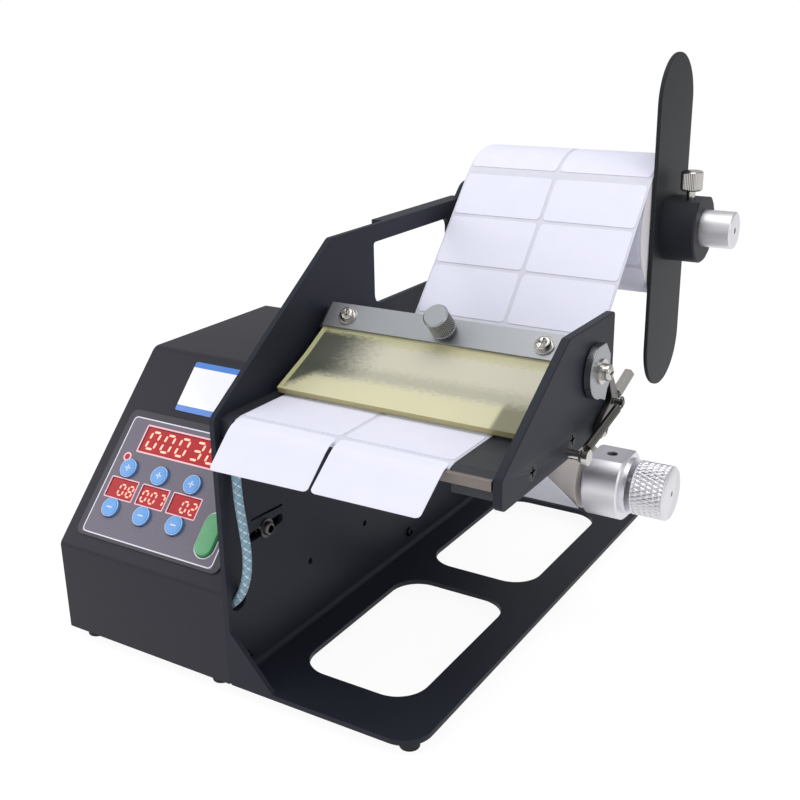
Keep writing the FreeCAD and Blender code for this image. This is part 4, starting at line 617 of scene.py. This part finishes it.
# ---------------- bright metal
# Nickel-plated screws and studs, whose plating is smooth with faint waves, black screws, ground steel
# shafts, the motor and its pulley, and sintered bronze bushes pressed into the wall.
def metal(name, colour, rough, grain, stretch=None, depth=0.01):
    """Metal with fine marks: noise of that grain in millimetres, stretched along one axis, moves its
    shade, its roughness and its surface a little."""
    darker = [c * 0.86 for c in linear(colour)[:3]] + [1.0]
    return textured(name, darker, colour, 1 / (grain * MM), 4.0, 0.6, stretch, bump=(0.25, depth),
                    gloss=(rough * 0.75, rough * 1.3), Metallic=1.0, Roughness=rough)


def second_finish(piece, chosen):
    """The faces that are chosen take the piece's second material."""
    piece.data.polygons.foreach_set("material_index", chosen.astype(np.int32))


nickel = metal("nickel_plate", "#c9c6c2", 0.16, 1.2)
ground_steel = metal("ground_steel", "#c2c3c6", 0.24, 0.25, (0.05, 1, 1))
stainless = metal("bead_blasted_stainless", "#adb0b4", 0.4, 0.45, (0.6, 1, 1), 0.06)
aluminium = metal("turned_aluminium", "#ecebf0", 0.4, 0.22, (1, 0.12, 0.12))
dull_steel = metal("dull_rolled_steel", "#8d8480", 0.5, 0.6, (0.1, 1, 1), 0.02)
# Also used as the painted shade in the clamp grip's knurl grooves.
dark_steel = metal("oiled_spring_steel_and_painted_groove_shade", "#6a6966", 0.32, 0.5)
black_oxide = metal("black_oxide_steel", "#2a2a2c", 0.38, 0.6)
bronze = metal("sintered_bronze", "#a5793f", 0.45, 0.4, None, 0.02)

for node in ("bar_screws", "plain_screws", "cam_screw", "lever_studs"):
    screws = softened(node, 0.12, nickel, 40.0)
    if node == "plain_screws":
        # The one on the right face of the upright plate, in the sensor's slot, is blackened.
        screws.data.materials.append(dark_steel)
        second_finish(screws, rows_of(screws.data.polygons, "center")[:, 0] > placed(0, 0, 0)[0])
for node in ("black_screws", "hub_set_screw"):
    softened(node, 0.10, black_oxide, 40.0)
for node, edge in (("pressure_shaft", 0.25), ("guide_rod", 0.3), ("drive_shaft", 0.2), ("rewind_shaft", 0.2)):
    softened(node, edge, ground_steel)
softened("motor_pulley", 0.2, aluminium)
give(bronze, "wall_bushes")
give(rubber, "drive_belts")
softened("drive_motor", 0.4, black_oxide)


# ---------------- peel table, strip, beam and bearing block
# Black anodised aluminium, deep satin black with fine machining lines along the table. The strip on its
# front is rolled steel, and the bar over it is blasted stainless steel.
anodised = textured("black_anodised_aluminium", "#1c1e24", "#33363f", 1 / (0.35 * MM), stretch=(0.04, 1, 1),
                    Roughness=0.42, Specular_IOR_Level=0.45)
for node in ("peel_table", "cross_beam", "bearing_block"):
    softened(node, 0.25, anodised)
softened("peel_strip", 0.15, dull_steel)
softened("clamp_bar", 0.25, stainless)


# ---------------- guide plate
# A strip of cast polyurethane, pale yellow and translucent, clamped under the steel bar and bowed down
# over the labels. Its cut edges gather the light and look a stronger yellow; its faces are dull.
GUIDE_THICK = 3.0
BAR_WIDTH = 12.4
BAR_THICK = 1.2
BAR_TILT = math.radians(44.0)
BAR_TOP = np.array([0, 80.4, 157.7])
BAR_UP = np.array([0, -math.sin(BAR_TILT), math.cos(BAR_TILT)])
BAR_ALONG = np.array([0, math.cos(BAR_TILT), math.sin(BAR_TILT)])
GUIDE_BEND = 14.0
GUIDE_LOW = (37.9, 127.2, 0)
GUIDE_MID = (58.9, 136.8, 80.0)
GUIDE_COLUMNS = 41


def rounded_line(corners, step=1.0):
    """A line through corners (y, z, radius), with a tangent arc at each corner that has a radius."""
    points = []
    for i, (y, z, radius) in enumerate(corners):
        here = np.array([y, z])
        if radius <= 0:
            points.append(here[None])
            continue
        into = here - np.array(corners[i - 1][:2])
        out = np.array(corners[i + 1][:2]) - here
        into, out = into / np.linalg.norm(into), out / np.linalg.norm(out)
        turn = math.atan2(into[0] * out[1] - into[1] * out[0], into @ out)
        reach = radius * math.tan(abs(turn) / 2)
        left = np.array([-into[1], into[0]]) * math.copysign(1, turn)
        centre = here - into * reach + left * radius
        a = np.linspace(0, turn, max(int(radius * abs(turn) / step), 3) + 1)
        points.append(centre - radius * np.stack([left[0] * np.cos(a) - left[1] * np.sin(a),
                                                  left[0] * np.sin(a) + left[1] * np.cos(a)], -1))
    return np.concatenate(points)


def lifted(line, height):
    """The line (y, z) moved to its left by a height."""
    ahead = np.gradient(line, axis=0)
    ahead /= np.linalg.norm(ahead, axis=1, keepdims=True)
    return line + np.stack([-ahead[:, 1], ahead[:, 0]], -1) * height


def band_grid(line, base, top, x0, x1, columns):
    """A closed band between two heights over a line of (y, z), ruled along x from x0 to x1 (numbers, or
    one for each point of the line)."""
    share = np.linspace(0, 1, columns)
    x = np.asarray(x0)[..., None] * (1 - share) + np.asarray(x1)[..., None] * share
    faces = [placed(np.broadcast_to(x, (len(side), columns)), side[:, :1], side[:, 1:])
             for side in (lifted(line, base) if base else line, lifted(line, top))]
    return with_ends(np.concatenate([faces[0], faces[1][:, ::-1]], 1))


under_bar = BAR_TOP - BAR_UP * (BAR_THICK + GUIDE_THICK)
guide_start = under_bar - BAR_ALONG
guide_bend = under_bar - BAR_ALONG * (BAR_WIDTH + GUIDE_BEND / 8)
guide_line = rounded_line([GUIDE_LOW, GUIDE_MID, (*guide_bend[1:], GUIDE_BEND), (*guide_start[1:], 0)])
guide_low, guide_high, _, _ = extent("guide_plate")
guide_grid = band_grid(guide_line, 0, GUIDE_THICK, guide_low[0], guide_high[0], GUIDE_COLUMNS)
across_plate = np.linspace(0, guide_high[0] - guide_low[0], GUIDE_COLUMNS)
up_plate = distances(guide_line)
guide_uv = np.zeros(guide_grid.shape[:2] + (2,))
guide_uv[..., 0] = np.concatenate([across_plate, across_plate[::-1]])
guide_uv[..., 1] = np.concatenate([up_plate[:1], up_plate, up_plate[-1:]])[:, None]


def cast_resin(name, clear):
    """Cast polyurethane with scuffs and a dull face, with no shade yet. Returns the material, the place
    across the plate and up it, and the scuffs."""
    made = new_material(name, Roughness=0.30, IOR=1.5, Transmission_Weight=clear)
    place, across, up = surface_place(made)
    combed = add_node(made, "Mapping", {"Vector": place, "Scale": (0.45, 1, 1)}).outputs["Vector"]
    scuffs = add_node(made, "TexNoise", {"Vector": combed, "Scale": 0.8, "Detail": 5.0,
                                         "Roughness": 0.65}).outputs["Fac"]
    bumped(made, scuffs, 0.25, 0.08)
    return made, across, up, scuffs


resin_face, plate_x, plate_y, scuffs = cast_resin("cast_polyurethane", 0.35)


def eased(value, start, end):
    """0 at start and 1 at end, with a smooth change between."""
    return add_node(resin_face, "MapRange", {"Value": value, "From Min": start, "From Max": end},
                    interpolation_type="SMOOTHSTEP").outputs["Result"]


def both(first, second):
    """The product of two shares."""
    return computed(resin_face, "MULTIPLY", first, second)


# The face is yellow where it rests on the labels, milky above, and a little greyer in a band between. Near
# the upright plate, low down and at its left, a painted shadow darkens it where that plate shades it. Limits
# are in millimetres across the plate and up it, and the scuffs move them by up to four.
stray = add_node(resin_face, "MapRange", {"Value": scuffs, "From Min": 0.3, "From Max": 0.7,
                                          "To Min": -4.0, "To Max": 4.0}).outputs["Result"]
right_of = computed(resin_face, "ADD", plate_x, stray)
above = computed(resin_face, "ADD", plate_y, both(stray, 0.5))
grey_band = both(eased(above, 11.0, 16.0), eased(above, 24.0, 17.0))
low_side = computed(resin_face, "MAXIMUM", eased(above, 9.0, 16.0),
                    eased(computed(resin_face, "SUBTRACT", above, right_of), -4.0, 4.0))
# Painted shadow of the upright plate: dark low on the plate and at its left.
painted_shadow = both(both(low_side, eased(right_of, 40.0, 12.0)), eased(above, 40.0, 36.0))
past_web = both(eased(plate_x, 101.0, 103.5), eased(above, 17.0, 11.0))
left_edge = eased(plate_x, 2.7, 2.1)
shade = "#f6f2cc"
# The fourth layer, #434a41, paints the upright plate's shadow.
for share, colour in ((eased(above, 9.0, 17.0), "#ece8d4"), (eased(above, 33.0, 38.0), "#dcd8ae"),
                      (both(grey_band, 0.5), "#b4b39c"), (both(painted_shadow, 0.9), "#434a41"),
                      (both(past_web, 0.75), "#66664c"), (left_edge, "#e6e5b0")):
    shade = blended(resin_face, share, shade, colour)
feed(resin_face, shade, "Base Color")

resin_edge, _, _, scuffs = cast_resin("cast_polyurethane_edge", 0.3)
feed(resin_edge, blended(resin_edge, scuffs, "#c3b983", "#d6cd9c"), "Base Color")
guide = add_piece("guide_plate_cast", [guide_grid], [resin_face, resin_edge], "swing_guide", "guide_plate",
                  uv=guide_uv)
guide_faces = guide.data.polygons
end_way = np.array([0, *(guide_line[1] - guide_line[0])])
from_end = (rows_of(guide_faces, "center") - placed(0, *GUIDE_LOW[:2])) @ (end_way / np.linalg.norm(end_way))
second_finish(guide, (np.abs(rows_of(guide_faces, "normal")[:, 0]) > 0.9) | (from_end < 0.05 * MM))


# ---------------- knurled grips
# Turned grips with a rolled knurl: the guide screw's is fine and upright, the clamp screw's a fine diamond
# with painted shade in its grooves, and the rewind knob's a coarse diamond with a plain chamfer at each end.
def turned_grid(base, axis, profile, sides, relief=None):
    """A surface of revolution: profile rows of (distance along the axis, radius), with the relief of
    each row and side taken off the radius."""
    axis = np.array(axis, float) / np.linalg.norm(axis)
    first = np.cross(axis, (0.0, 1.0, 0.0) if abs(axis[1]) < 0.9 else (1.0, 0.0, 0.0))
    first /= np.linalg.norm(first)
    second = np.cross(axis, first)
    turn = np.linspace(0, 2 * np.pi, sides, endpoint=False)
    ring = np.cos(turn)[:, None] * first + np.sin(turn)[:, None] * second
    profile = np.array(profile, float)
    radius = np.repeat(profile[:, 1:], sides, 1)
    if relief is not None:
        radius = np.maximum(radius - relief, 0)
    return machine_origin + (np.array(base) + profile[:, :1, None] * axis + radius[..., None] * ring) * MM


def grip_grid(base, axis, radius, length, count, depth, pitch=None, chamfer=0.7, hole=None):
    """A knurled cylinder with chamfered ends, closed at both, with a small centre hole if asked. The
    grooves are V cuts that run as helices both ways if there is a pitch, and upright if there is none;
    the relief is the deeper of the two."""
    sides = count * 8
    body_rows = max(int(length / 0.25), 8)
    along = np.linspace(chamfer, length - chamfer, body_rows)
    profile = [(0, 0), (0, radius - chamfer), *((a, radius) for a in along), (length, radius - chamfer)]
    profile += [(length, hole), (length - 2.0, hole), (length - 2.0, 0)] if hole else [(length, 0)]
    profile = np.array(profile)
    turn = np.linspace(0, 1, sides, endpoint=False)[None, :] * count
    lead = profile[:, :1] / pitch if pitch else np.zeros((len(profile), 1))
    one_way, other_way = [np.clip(1 - 2.4 * (0.5 - np.abs(phase % 1.0 - 0.5)), 0, 1)
                          for phase in (turn + lead, turn - lead)]
    row = np.arange(len(profile))[:, None]
    relief = np.maximum(one_way, other_way) * depth * ((row >= 3) & (row <= body_rows))
    return turned_grid(base, axis, profile, sides, relief)


CLAMP_X = 65.3
CLAMP_RADIUS = 5.6
CLAMP_FOOT = 1.6        # from the bar to the grip
CLAMP_PROFILE = [(-8.3, 0), (-8.3, 2.0), (0, 2.0), (0, 3.6), (1.8, 3.6), (1.8, 0)]
clamp_seat = BAR_TOP - BAR_ALONG * (BAR_WIDTH / 2) + BAR_UP * 0.3 + np.array([CLAMP_X, 0, 0])
clamp = add_piece("clamp_screw_grip", [
    turned_grid(clamp_seat, BAR_UP, CLAMP_PROFILE, 48),
    grip_grid(clamp_seat + BAR_UP * CLAMP_FOOT, BAR_UP, CLAMP_RADIUS, length=10.6, count=26, depth=0.36,
              pitch=1.36),
], [stainless, dark_steel], "clamp_thumbscrew", "clamp_screw")
# Painted shade in the grooves: faces a little nearer to the axis than the knurl's crests take the dark steel.
local = (rows_of(clamp.data.polygons, "center") - machine_origin) / MM - clamp_seat
height = local @ BAR_UP
away = np.linalg.norm(local - height[:, None] * BAR_UP, axis=1)
second_finish(clamp, (away < CLAMP_RADIUS - 0.2) & (away > CLAMP_RADIUS - 0.7)
              & (height > CLAMP_FOOT + 0.9) & (height < CLAMP_FOOT + 9.7))

knob_low, _, knob_middle, _ = extent("rewind_knob")
add_piece("rewind_knob_knurled", [
    grip_grid((knob_low[0], *knob_middle[1:]), (1, 0, 0), radius=12.8, length=16.5, count=40, depth=0.5,
              pitch=5.6, chamfer=0.9, hole=1.2),
], [aluminium], "rewind", "rewind_knob", crease=50.0)

GRIP_HEIGHT = 9.6
STEM_RADIUS = 2.2
screw_low, screw_high, screw_middle, _ = extent("guide_screw")
stem_length = screw_high[2] - screw_low[2] - GRIP_HEIGHT + 1
add_piece("guide_screw_grip", [
    turned_grid((*screw_middle[:2], screw_low[2]), (0, 0, 1),
                [(0, 0), (0, STEM_RADIUS), (stem_length, STEM_RADIUS), (stem_length, 0)], 32),
    grip_grid((*screw_middle[:2], screw_high[2] - GRIP_HEIGHT), (0, 0, 1), radius=5.4, length=GRIP_HEIGHT,
              count=34, depth=0.3),
], [nickel], "guide_thumbscrew", "guide_screw", crease=50.0)
softened("rewind_hub", 0.3, aluminium)


# ---------------- cam plate and release lever
# Stamped steel, nickel plated: the cam plate with its pointed tip, the bent lever with a hexagon handle
# screwed on, and a close-wound tension spring from the lever to a stud at the front.
SPRING_X = 136.2
SPRING_TURNS = 34
SPRING_RADIUS = 1.5
EYE_RADIUS = 2.3
STEM_LENGTH = 5.6
WIRE_RADIUS = 0.42
stamped_steel = metal("stamped_nickel_steel", "#9da0a4", 0.27, 0.8, None, 0.02)
softened("cam_plate", 0.35, stamped_steel)
softened("release_lever", 0.25, dark_steel)
softened("lever_handle", 0.3, nickel)

spring_from = np.array([SPRING_X, 57.4, 117.0])
spring_to = np.array([SPRING_X, 99.5, 126.0])
spring_way = (spring_to - spring_from) / np.linalg.norm(spring_to - spring_from)
side = np.cross(spring_way, (1.0, 0.0, 0.0))
coil_start = spring_from + spring_way * 5.5
coil_end = spring_to - spring_way * 5.0
share = np.linspace(0, 1, SPRING_TURNS * 14)[:, None]
angle = share * SPRING_TURNS * 2 * np.pi
coil = (coil_start + share * (coil_end - coil_start)
        + SPRING_RADIUS * (np.cos(angle) * np.array([1.0, 0, 0]) + np.sin(angle) * side))
hook_turn = np.linspace(0, 1.6 * np.pi, 24)[:, None]
wires = [(coil, spring_way)]
for middle, way in ((spring_from, spring_way), (spring_to, -spring_way)):
    eye = middle + EYE_RADIUS * (np.cos(hook_turn) * way + np.sin(hook_turn) * side)
    stem = middle + way * np.linspace(STEM_LENGTH, EYE_RADIUS, 6)[:, None]
    wires.append((np.concatenate([stem[:-1], eye]), (1, 0, 0)))
spring_grids = []
for wire, side_way in wires:
    points = placed(*wire.T)
    spring_grids.append(with_ends(tube_grid(points, WIRE_RADIUS * MM, 8, side_way), points[[0, -1]]))
spring = add_piece("lever_spring_wound", spring_grids, [dark_steel], None, "lever_spring",
                   crease=180.0)
placed(*spring_from)
placed(*spring_to)
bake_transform(spring)


# ---------------- rubber rollers
# Ground nitrile sleeves on steel shafts: matt, with a faint lay of the grinding round them.
roller_rubber = textured("ground_nitrile_sleeve", "#1a1a1c", "#353538", 1500.0, stretch=(1, 0.1, 0.1),
                         Roughness=0.7)
ROLLER_CHAMFER = 0.6


def tube_of(node, bore, corners, sides):
    """A turned tube along x with the node's length and middle: the bore, the outer corners of (distance,
    radius), and the bore again."""
    low, high, middle, _ = extent(node)
    length = high[0] - low[0]
    profile = [(0, bore), *corners, (length, bore), (0, bore)]
    return turned_grid((low[0], *middle[1:]), (1, 0, 0), profile, sides)


def chamfered(node, radius, chamfer):
    """The outer corners of a cylinder with chamfered ends, as long as the node."""
    low, high, _, _ = extent(node)
    length = high[0] - low[0]
    return [(0, radius - chamfer), (chamfer, radius), (length - chamfer, radius), (length, radius - chamfer)]


for node, bore, body in (("drive_roller", 4.0, "drive"), ("pressure_roller", 3.05, "pressure")):
    tube = tube_of(node, bore, chamfered(node, extent(node)[3], ROLLER_CHAMFER), 128)
    add_piece(node + "_sleeve", [tube], [roller_rubber], body, node)


# ---------------- label roll
# Two lanes of white gloss labels on a glassine liner, wound on a board core. The roll's ends show the
# fine rings of its layers; the outermost turn carries the same rows of labels as the web.
LINER = 0.4
LABEL = 0.3
LABEL_PITCH = 29.0
LABEL_GAP = 2.0
LABEL_MARGIN = 1.0
LABEL_CORNER = 2.0
LABEL_START = 8.4
LABEL_LENGTH = LABEL_PITCH - LABEL_GAP
LAYER_PITCH = 1.6
roll_low, roll_high, roll_middle, ROLL_RADIUS = extent("label_roll")
WEB_X0, WEB_X1 = roll_low[0], roll_high[0]
LANE = (WEB_X1 - WEB_X0 - 2 * LABEL_MARGIN - LABEL_GAP) / 2
LANES = [(WEB_X0 + LABEL_MARGIN, WEB_X0 + LABEL_MARGIN + LANE),
         (WEB_X1 - LABEL_MARGIN - LANE, WEB_X1 - LABEL_MARGIN)]


def paper(name, dark, light, rough, scale):
    """Paper: a very light mottle and no more."""
    return textured(name, dark, light, scale, 4.0, Roughness=rough, Specular_IOR_Level=0.35)


label_paper = paper("gloss_label_paper", "#e3e4f6", "#ebebfa", 0.42, 90.0)
glassine = paper("glassine_liner", "#d0d1dd", "#dcdde8", 0.42, 140.0)
wound = new_material("wound_paper_ends", Roughness=0.6)
where = add_node(wound, "TexCoord", {}).outputs["Object"]
centred = add_node(wound, "Mapping", {"Vector": where, "Location": -placed(0, *roll_middle[1:]),
                                      "Scale": (0, 1, 1)}).outputs["Vector"]
rings = add_node(wound, "TexWave", {"Vector": centred, "Scale": 1 / (LAYER_PITCH * MM) / 3.14,
                                    "Distortion": 1.2, "Detail": 2.0, "Detail Scale": 0.4},
                 wave_type="RINGS", rings_direction="X").outputs["Fac"]
feed(wound, blended(wound, rings, "#d9d4d6", "#f0eef3"), "Base Color")

roll_piece = add_piece("label_roll_wound", [
    tube_of("label_roll", extent("roll_core")[3], chamfered("label_roll", ROLL_RADIUS - LABEL, 0.2), 192),
], [wound, glassine], "supply", "label_roll")
second_finish(roll_piece, np.abs(rows_of(roll_piece.data.polygons, "normal")[:, 0]) < 0.5)


# ---------------- liner web and its labels
# The glassine runs from the roll round the guide rod, over the table and its sloping nose, turns sharply
# behind the steel strip, and goes round the drive roller to the waste roll. Two lanes of labels ride on it.
NOSE_Y = 9.0            # the table slopes down from here to the front of the steel strip
NOSE_DROP = 1.3
STRIP_FRONT = 2.7
PEEL_FRONT = 5.0
PEEL_FALL = 1.6
PEEL_BEND = 0.9
ROD_RADIUS = 5.0
WEB_GAP = 0.3           # from the web to what it runs round
UNDER_ROD = ROD_RADIUS + WEB_GAP + LABEL + LINER
TABLE_TOP = extent("peel_table")[1][2]
roll_yz, rod_yz, drive_yz, waste_yz = [extent(node)[2][1:] for node in (
    "label_roll", "guide_rod", "drive_roller", "waste_roll")]
drive_radius, waste_radius = [extent(node)[3] + WEB_GAP for node in ("drive_roller", "waste_roll")]


def touching(c1, r1, c2, r2):
    """Ends of the line that touches two circles on its right; a negative radius is touched on its far
    side."""
    gap = np.linalg.norm(c2 - c1)
    along = (c2 - c1) / gap
    cosine = (r1 - r2) / gap
    normal = along * cosine + np.array([along[1], -along[0]]) * math.sqrt(1 - cosine ** 2)
    return c1 + normal * r1, c2 + normal * r2


def resampled(line, places):
    """Points at these distances along a line."""
    return np.stack([np.interp(places, distances(line), line[:, k]) for k in range(line.shape[1])], -1)


def evenly(line, count):
    """That many points at even steps along a line."""
    return resampled(line, np.linspace(0, distances(line)[-1], count))


def nose_height(y):
    """Height of the table's sloping nose."""
    return TABLE_TOP - NOSE_DROP * (NOSE_Y - y) / (NOSE_Y - STRIP_FRONT)


leave, touch = touching(roll_yz, ROLL_RADIUS - LINER - LABEL, rod_yz, -UNDER_ROD)
slope_run = (touch - leave) / np.linalg.norm(touch - leave)
bend = leave + slope_run * ((TABLE_TOP - leave[1]) / slope_run[1])
# Where the run from below the nose to the drive roller meets the run from there to the waste roll.
below = np.array([PEEL_FRONT, nose_height(PEEL_FRONT) - PEEL_FALL])
t1, t2 = touching(below, 0.0, drive_yz, drive_radius)
t3, t4 = touching(drive_yz, drive_radius, waste_yz, waste_radius)
d1, d2 = t2 - t1, t4 - t3
reach = ((t3 - t1)[0] * d2[1] - (t3 - t1)[1] * d2[0]) / (d1[0] * d2[1] - d1[1] * d2[0])
on_table = [(NOSE_Y, TABLE_TOP, 0), (*bend, UNDER_ROD), (*leave, 0)]
upper_web = rounded_line(on_table, 0.6)
upper_length = distances(upper_web)[-1]
liner_line = rounded_line([(*t4, 0), (*(t1 + d1 * reach), drive_radius), (*below, PEEL_BEND),
                           (PEEL_FRONT, nose_height(PEEL_FRONT), PEEL_BEND)] + on_table, 0.3)
add_piece("liner_web_sheet", [band_grid(evenly(liner_line, 1100), 0, LINER, WEB_X0, WEB_X1, 2)], [glassine],
          "machine_frame", "liner_web")


def corner_inset(s):
    """How far a label's sides draw in at these distances along it, for its round corners: a circle's
    height over the last stretch at each end."""
    near = np.maximum(LABEL_CORNER - np.minimum(s - s[0], s[-1] - s), 0)
    return LABEL_CORNER - np.sqrt(np.maximum(LABEL_CORNER ** 2 - near ** 2, 0))


def label_on(line, start, end, x0, x1, base):
    """One label along a line from start to end: a thin slab with round corners."""
    bow = LABEL_CORNER * (1 - np.cos(np.linspace(0, np.pi / 2, 7)))
    inner = np.linspace(start + LABEL_CORNER, end - LABEL_CORNER, 24)[1:-1]
    s = np.concatenate([start + bow, inner, end - bow[::-1]])
    inset = corner_inset(s)
    return band_grid(resampled(line, s), base, base + LABEL, x0 + inset, x1 - inset, 2)


def label_rows(line, length, starts, base):
    """Both lanes of labels at these places along a line, cut off at its ends."""
    grids = []
    for position in starts:
        start, end = max(position, 0.0), min(position + LABEL_LENGTH, length)
        if end - start > 2 * LABEL_CORNER + 1:
            grids += [label_on(line, start, end, *lane, base) for lane in LANES]
    return grids


first_row = LABEL_START - NOSE_Y + LABEL_GAP / 2
web_rows = [first_row + i * LABEL_PITCH for i in range(8)]
add_piece("web_labels_die_cut", label_rows(upper_web, upper_length, web_rows, LINER), [label_paper],
          "machine_frame", "web_labels")

leave_angle = math.atan2(leave[1] - roll_yz[1], leave[0] - roll_yz[0])
roll_turn = leave_angle - np.linspace(0, 2 * np.pi * 0.97, 400)
roll_line = roll_yz + (ROLL_RADIUS - LABEL) * np.stack([np.cos(roll_turn), np.sin(roll_turn)], -1)
roll_length = distances(roll_line)[-1]
roll_rows = np.arange(-((upper_length - first_row) % LABEL_PITCH), roll_length - LABEL_PITCH, LABEL_PITCH)
add_piece("roll_labels_die_cut", label_rows(roll_line, roll_length, roll_rows, 0.0), [label_paper], "supply")


# ---------------- peeled labels
# Two labels that have left the liner at the peel edge: stiff paper that runs down the nose and then droops
# in an even curve, the right one reaching a little further out than the left.
PEEL_ENDS = [((-13.7, 110.8), (-13.9, 111.8)), ((-14.7, 112.4), (-15.3, 113.2))]
PEEL_START = LABEL_START - LABEL_GAP / 2
PEEL_EDGE = STRIP_FRONT - 0.5
PEEL_LIFT = LINER * 1.03
PEEL_ROWS = 61


def drooping(end):
    """The underside of a peeled label: down the nose, over the edge and on to its end, at even steps."""
    edge = np.array([PEEL_EDGE, nose_height(PEEL_EDGE) + PEEL_LIFT])
    return evenly(rounded_line([(PEEL_START, nose_height(PEEL_START) + PEEL_LIFT, 0), (*edge, 7.0),
                                (*(edge - (2.7, 1.7)), 20.0), (*end, 0)], 0.3), PEEL_ROWS)


peeled_grids = []
share = np.linspace(0, 1, 25)
for (x0, x1), ends in zip(LANES, PEEL_ENDS):
    left_line, right_line = [drooping(end)[:, None] for end in ends]
    inset = corner_inset(np.linspace(0, LABEL_LENGTH, PEEL_ROWS))[:, None]
    x = (x0 + inset) * (1 - share) + (x1 - inset) * share
    along = ((x - x0) / (x1 - x0))[..., None]
    surface = left_line * (1 - along) + right_line * along
    ahead = np.gradient(surface, axis=0)
    ahead /= np.linalg.norm(ahead, axis=-1, keepdims=True)
    outer = surface + np.stack([ahead[..., 1], -ahead[..., 0]], -1) * LABEL
    lower, upper = [placed(x, face[..., 0], face[..., 1]) for face in (surface, outer)]
    peeled_grids.append(with_ends(np.concatenate([lower, upper[:, ::-1]], 1)))
add_piece("peeled_labels_curled", peeled_grids, [label_paper], "machine_frame", "peeled_labels")


# ---------------- roll core and spindle
# The roll's core is wound from brown board. It turns on an aluminium spindle with a brake at its left end.
give(paper("core_board", "#8f7656", "#a98f6d", 0.75, 300.0), "roll_core")
softened("supply_spindle", 0.15, aluminium)


# ---------------- width guide
# A long steel paddle with round ends and a turned collar, both powder coated; the paddle's coat is
# smoother and a touch bluer than the frame's.
paddle_coat = powder_coat("blue_black_powder_coat", "#1c1f23", "#2a2e33")
softened("guide_paddle", 0.3, paddle_coat)
collar_coat = powder_coat("collar_powder_coat", "#1b1c22", "#2c2e36")
softened("guide_collar", 0.4, collar_coat)


# ---------------- waste roll
# The stripped liner wound up by the rewind shaft, a little loose, warm grey, with uneven layers.
WASTE_BORE = 9.0
WASTE_SLACK = 0.4
waste_paper = paper("wound_waste_liner", "#e2dad3", "#f4ede7", 0.55, 60.0)
waste_low, waste_high, _, waste_outer = extent("waste_roll")
rows = np.linspace(0, waste_high[0] - waste_low[0], 40)
loose = 0.25 * np.sin(rows * 0.31) + 0.15 * np.sin(rows * 0.83 + 1.0)
waste_layers = list(zip(rows, waste_outer - WASTE_SLACK + loose))
add_piece("waste_roll_wound", [tube_of("waste_roll", WASTE_BORE, waste_layers, 96)], [waste_paper], "rewind",
          "waste_roll")


# ---------------- floor and light
# A pale sweep that looks white, three soft lamps above it, on its left and on its right, and a white room.
FLOOR_HALF = 3.0
FLOOR_GLOW = 1.09
GLOW_SHARE = 0.85
ROOM_LEVEL = 0.56
SOFTBOXES = [  # name, place, size and power
    ("top_softbox", (0.1, -0.1, 1.2), 0.9, 5.9),
    ("left_softbox", (-1.0, -0.7, 0.7), 0.7, 4.2),
    ("right_softbox", (1.1, -0.3, 0.6), 0.6, 1.6),
]
LAMP_AIM = Vector((0, 0, 0.1))

floor_mesh = bpy.data.meshes.new("floor")
floor_corners = [(x * FLOOR_HALF, y * FLOOR_HALF, 0) for x, y in ((-1, -1), (1, -1), (1, 1), (-1, 1))]
floor_mesh.from_pydata(floor_corners, [], [(0, 1, 2, 3)])
floor = bpy.data.objects.new("floor", floor_mesh)
bpy.context.scene.collection.objects.link(floor)
sweep = new_material("pale_sweep", Roughness=0.9, Base_Color="#f4f4f5")
path = add_node(sweep, "LightPath", {}).outputs
seen = computed(sweep, "MAXIMUM", path["Is Camera Ray"], path["Is Glossy Ray"])
seen = computed(sweep, "MAXIMUM", seen, path["Is Transmission Ray"])
white = add_node(sweep, "Emission", {"Color": (1, 1, 1, 1), "Strength": FLOOR_GLOW})
shader = sweep.node_tree.nodes["Principled BSDF"]
mixed = add_node(sweep, "MixShader", {0: computed(sweep, "MULTIPLY", seen, GLOW_SHARE),
                                      1: shader.outputs["BSDF"], 2: white.outputs["Emission"]})
sweep.node_tree.links.new(mixed.outputs["Shader"], sweep.node_tree.nodes["Material Output"].inputs["Surface"])
floor_mesh.materials.append(sweep)

world = bpy.data.worlds.new("white_room")
bpy.context.scene.world = world
world.use_nodes = True
background = world.node_tree.nodes["Background"]
ray = add_node(world, "LightPath", {})
level = add_node(world, "MapRange", {"Value": ray.outputs["Is Camera Ray"], "To Min": ROOM_LEVEL,
                                     "To Max": 1.0})
world.node_tree.links.new(level.outputs["Result"], background.inputs["Strength"])
background.inputs["Color"].default_value = (1, 1, 1, 1)

for name, place, size, power in SOFTBOXES:
    softbox = bpy.data.lights.new(name, "AREA")
    softbox.size = size
    softbox.energy = power
    lamp = bpy.data.objects.new(name, softbox)
    lamp.location = place
    lamp.rotation_euler = (LAMP_AIM - Vector(place)).to_track_quat("-Z", "Y").to_euler()
    bpy.context.scene.collection.objects.link(lamp)
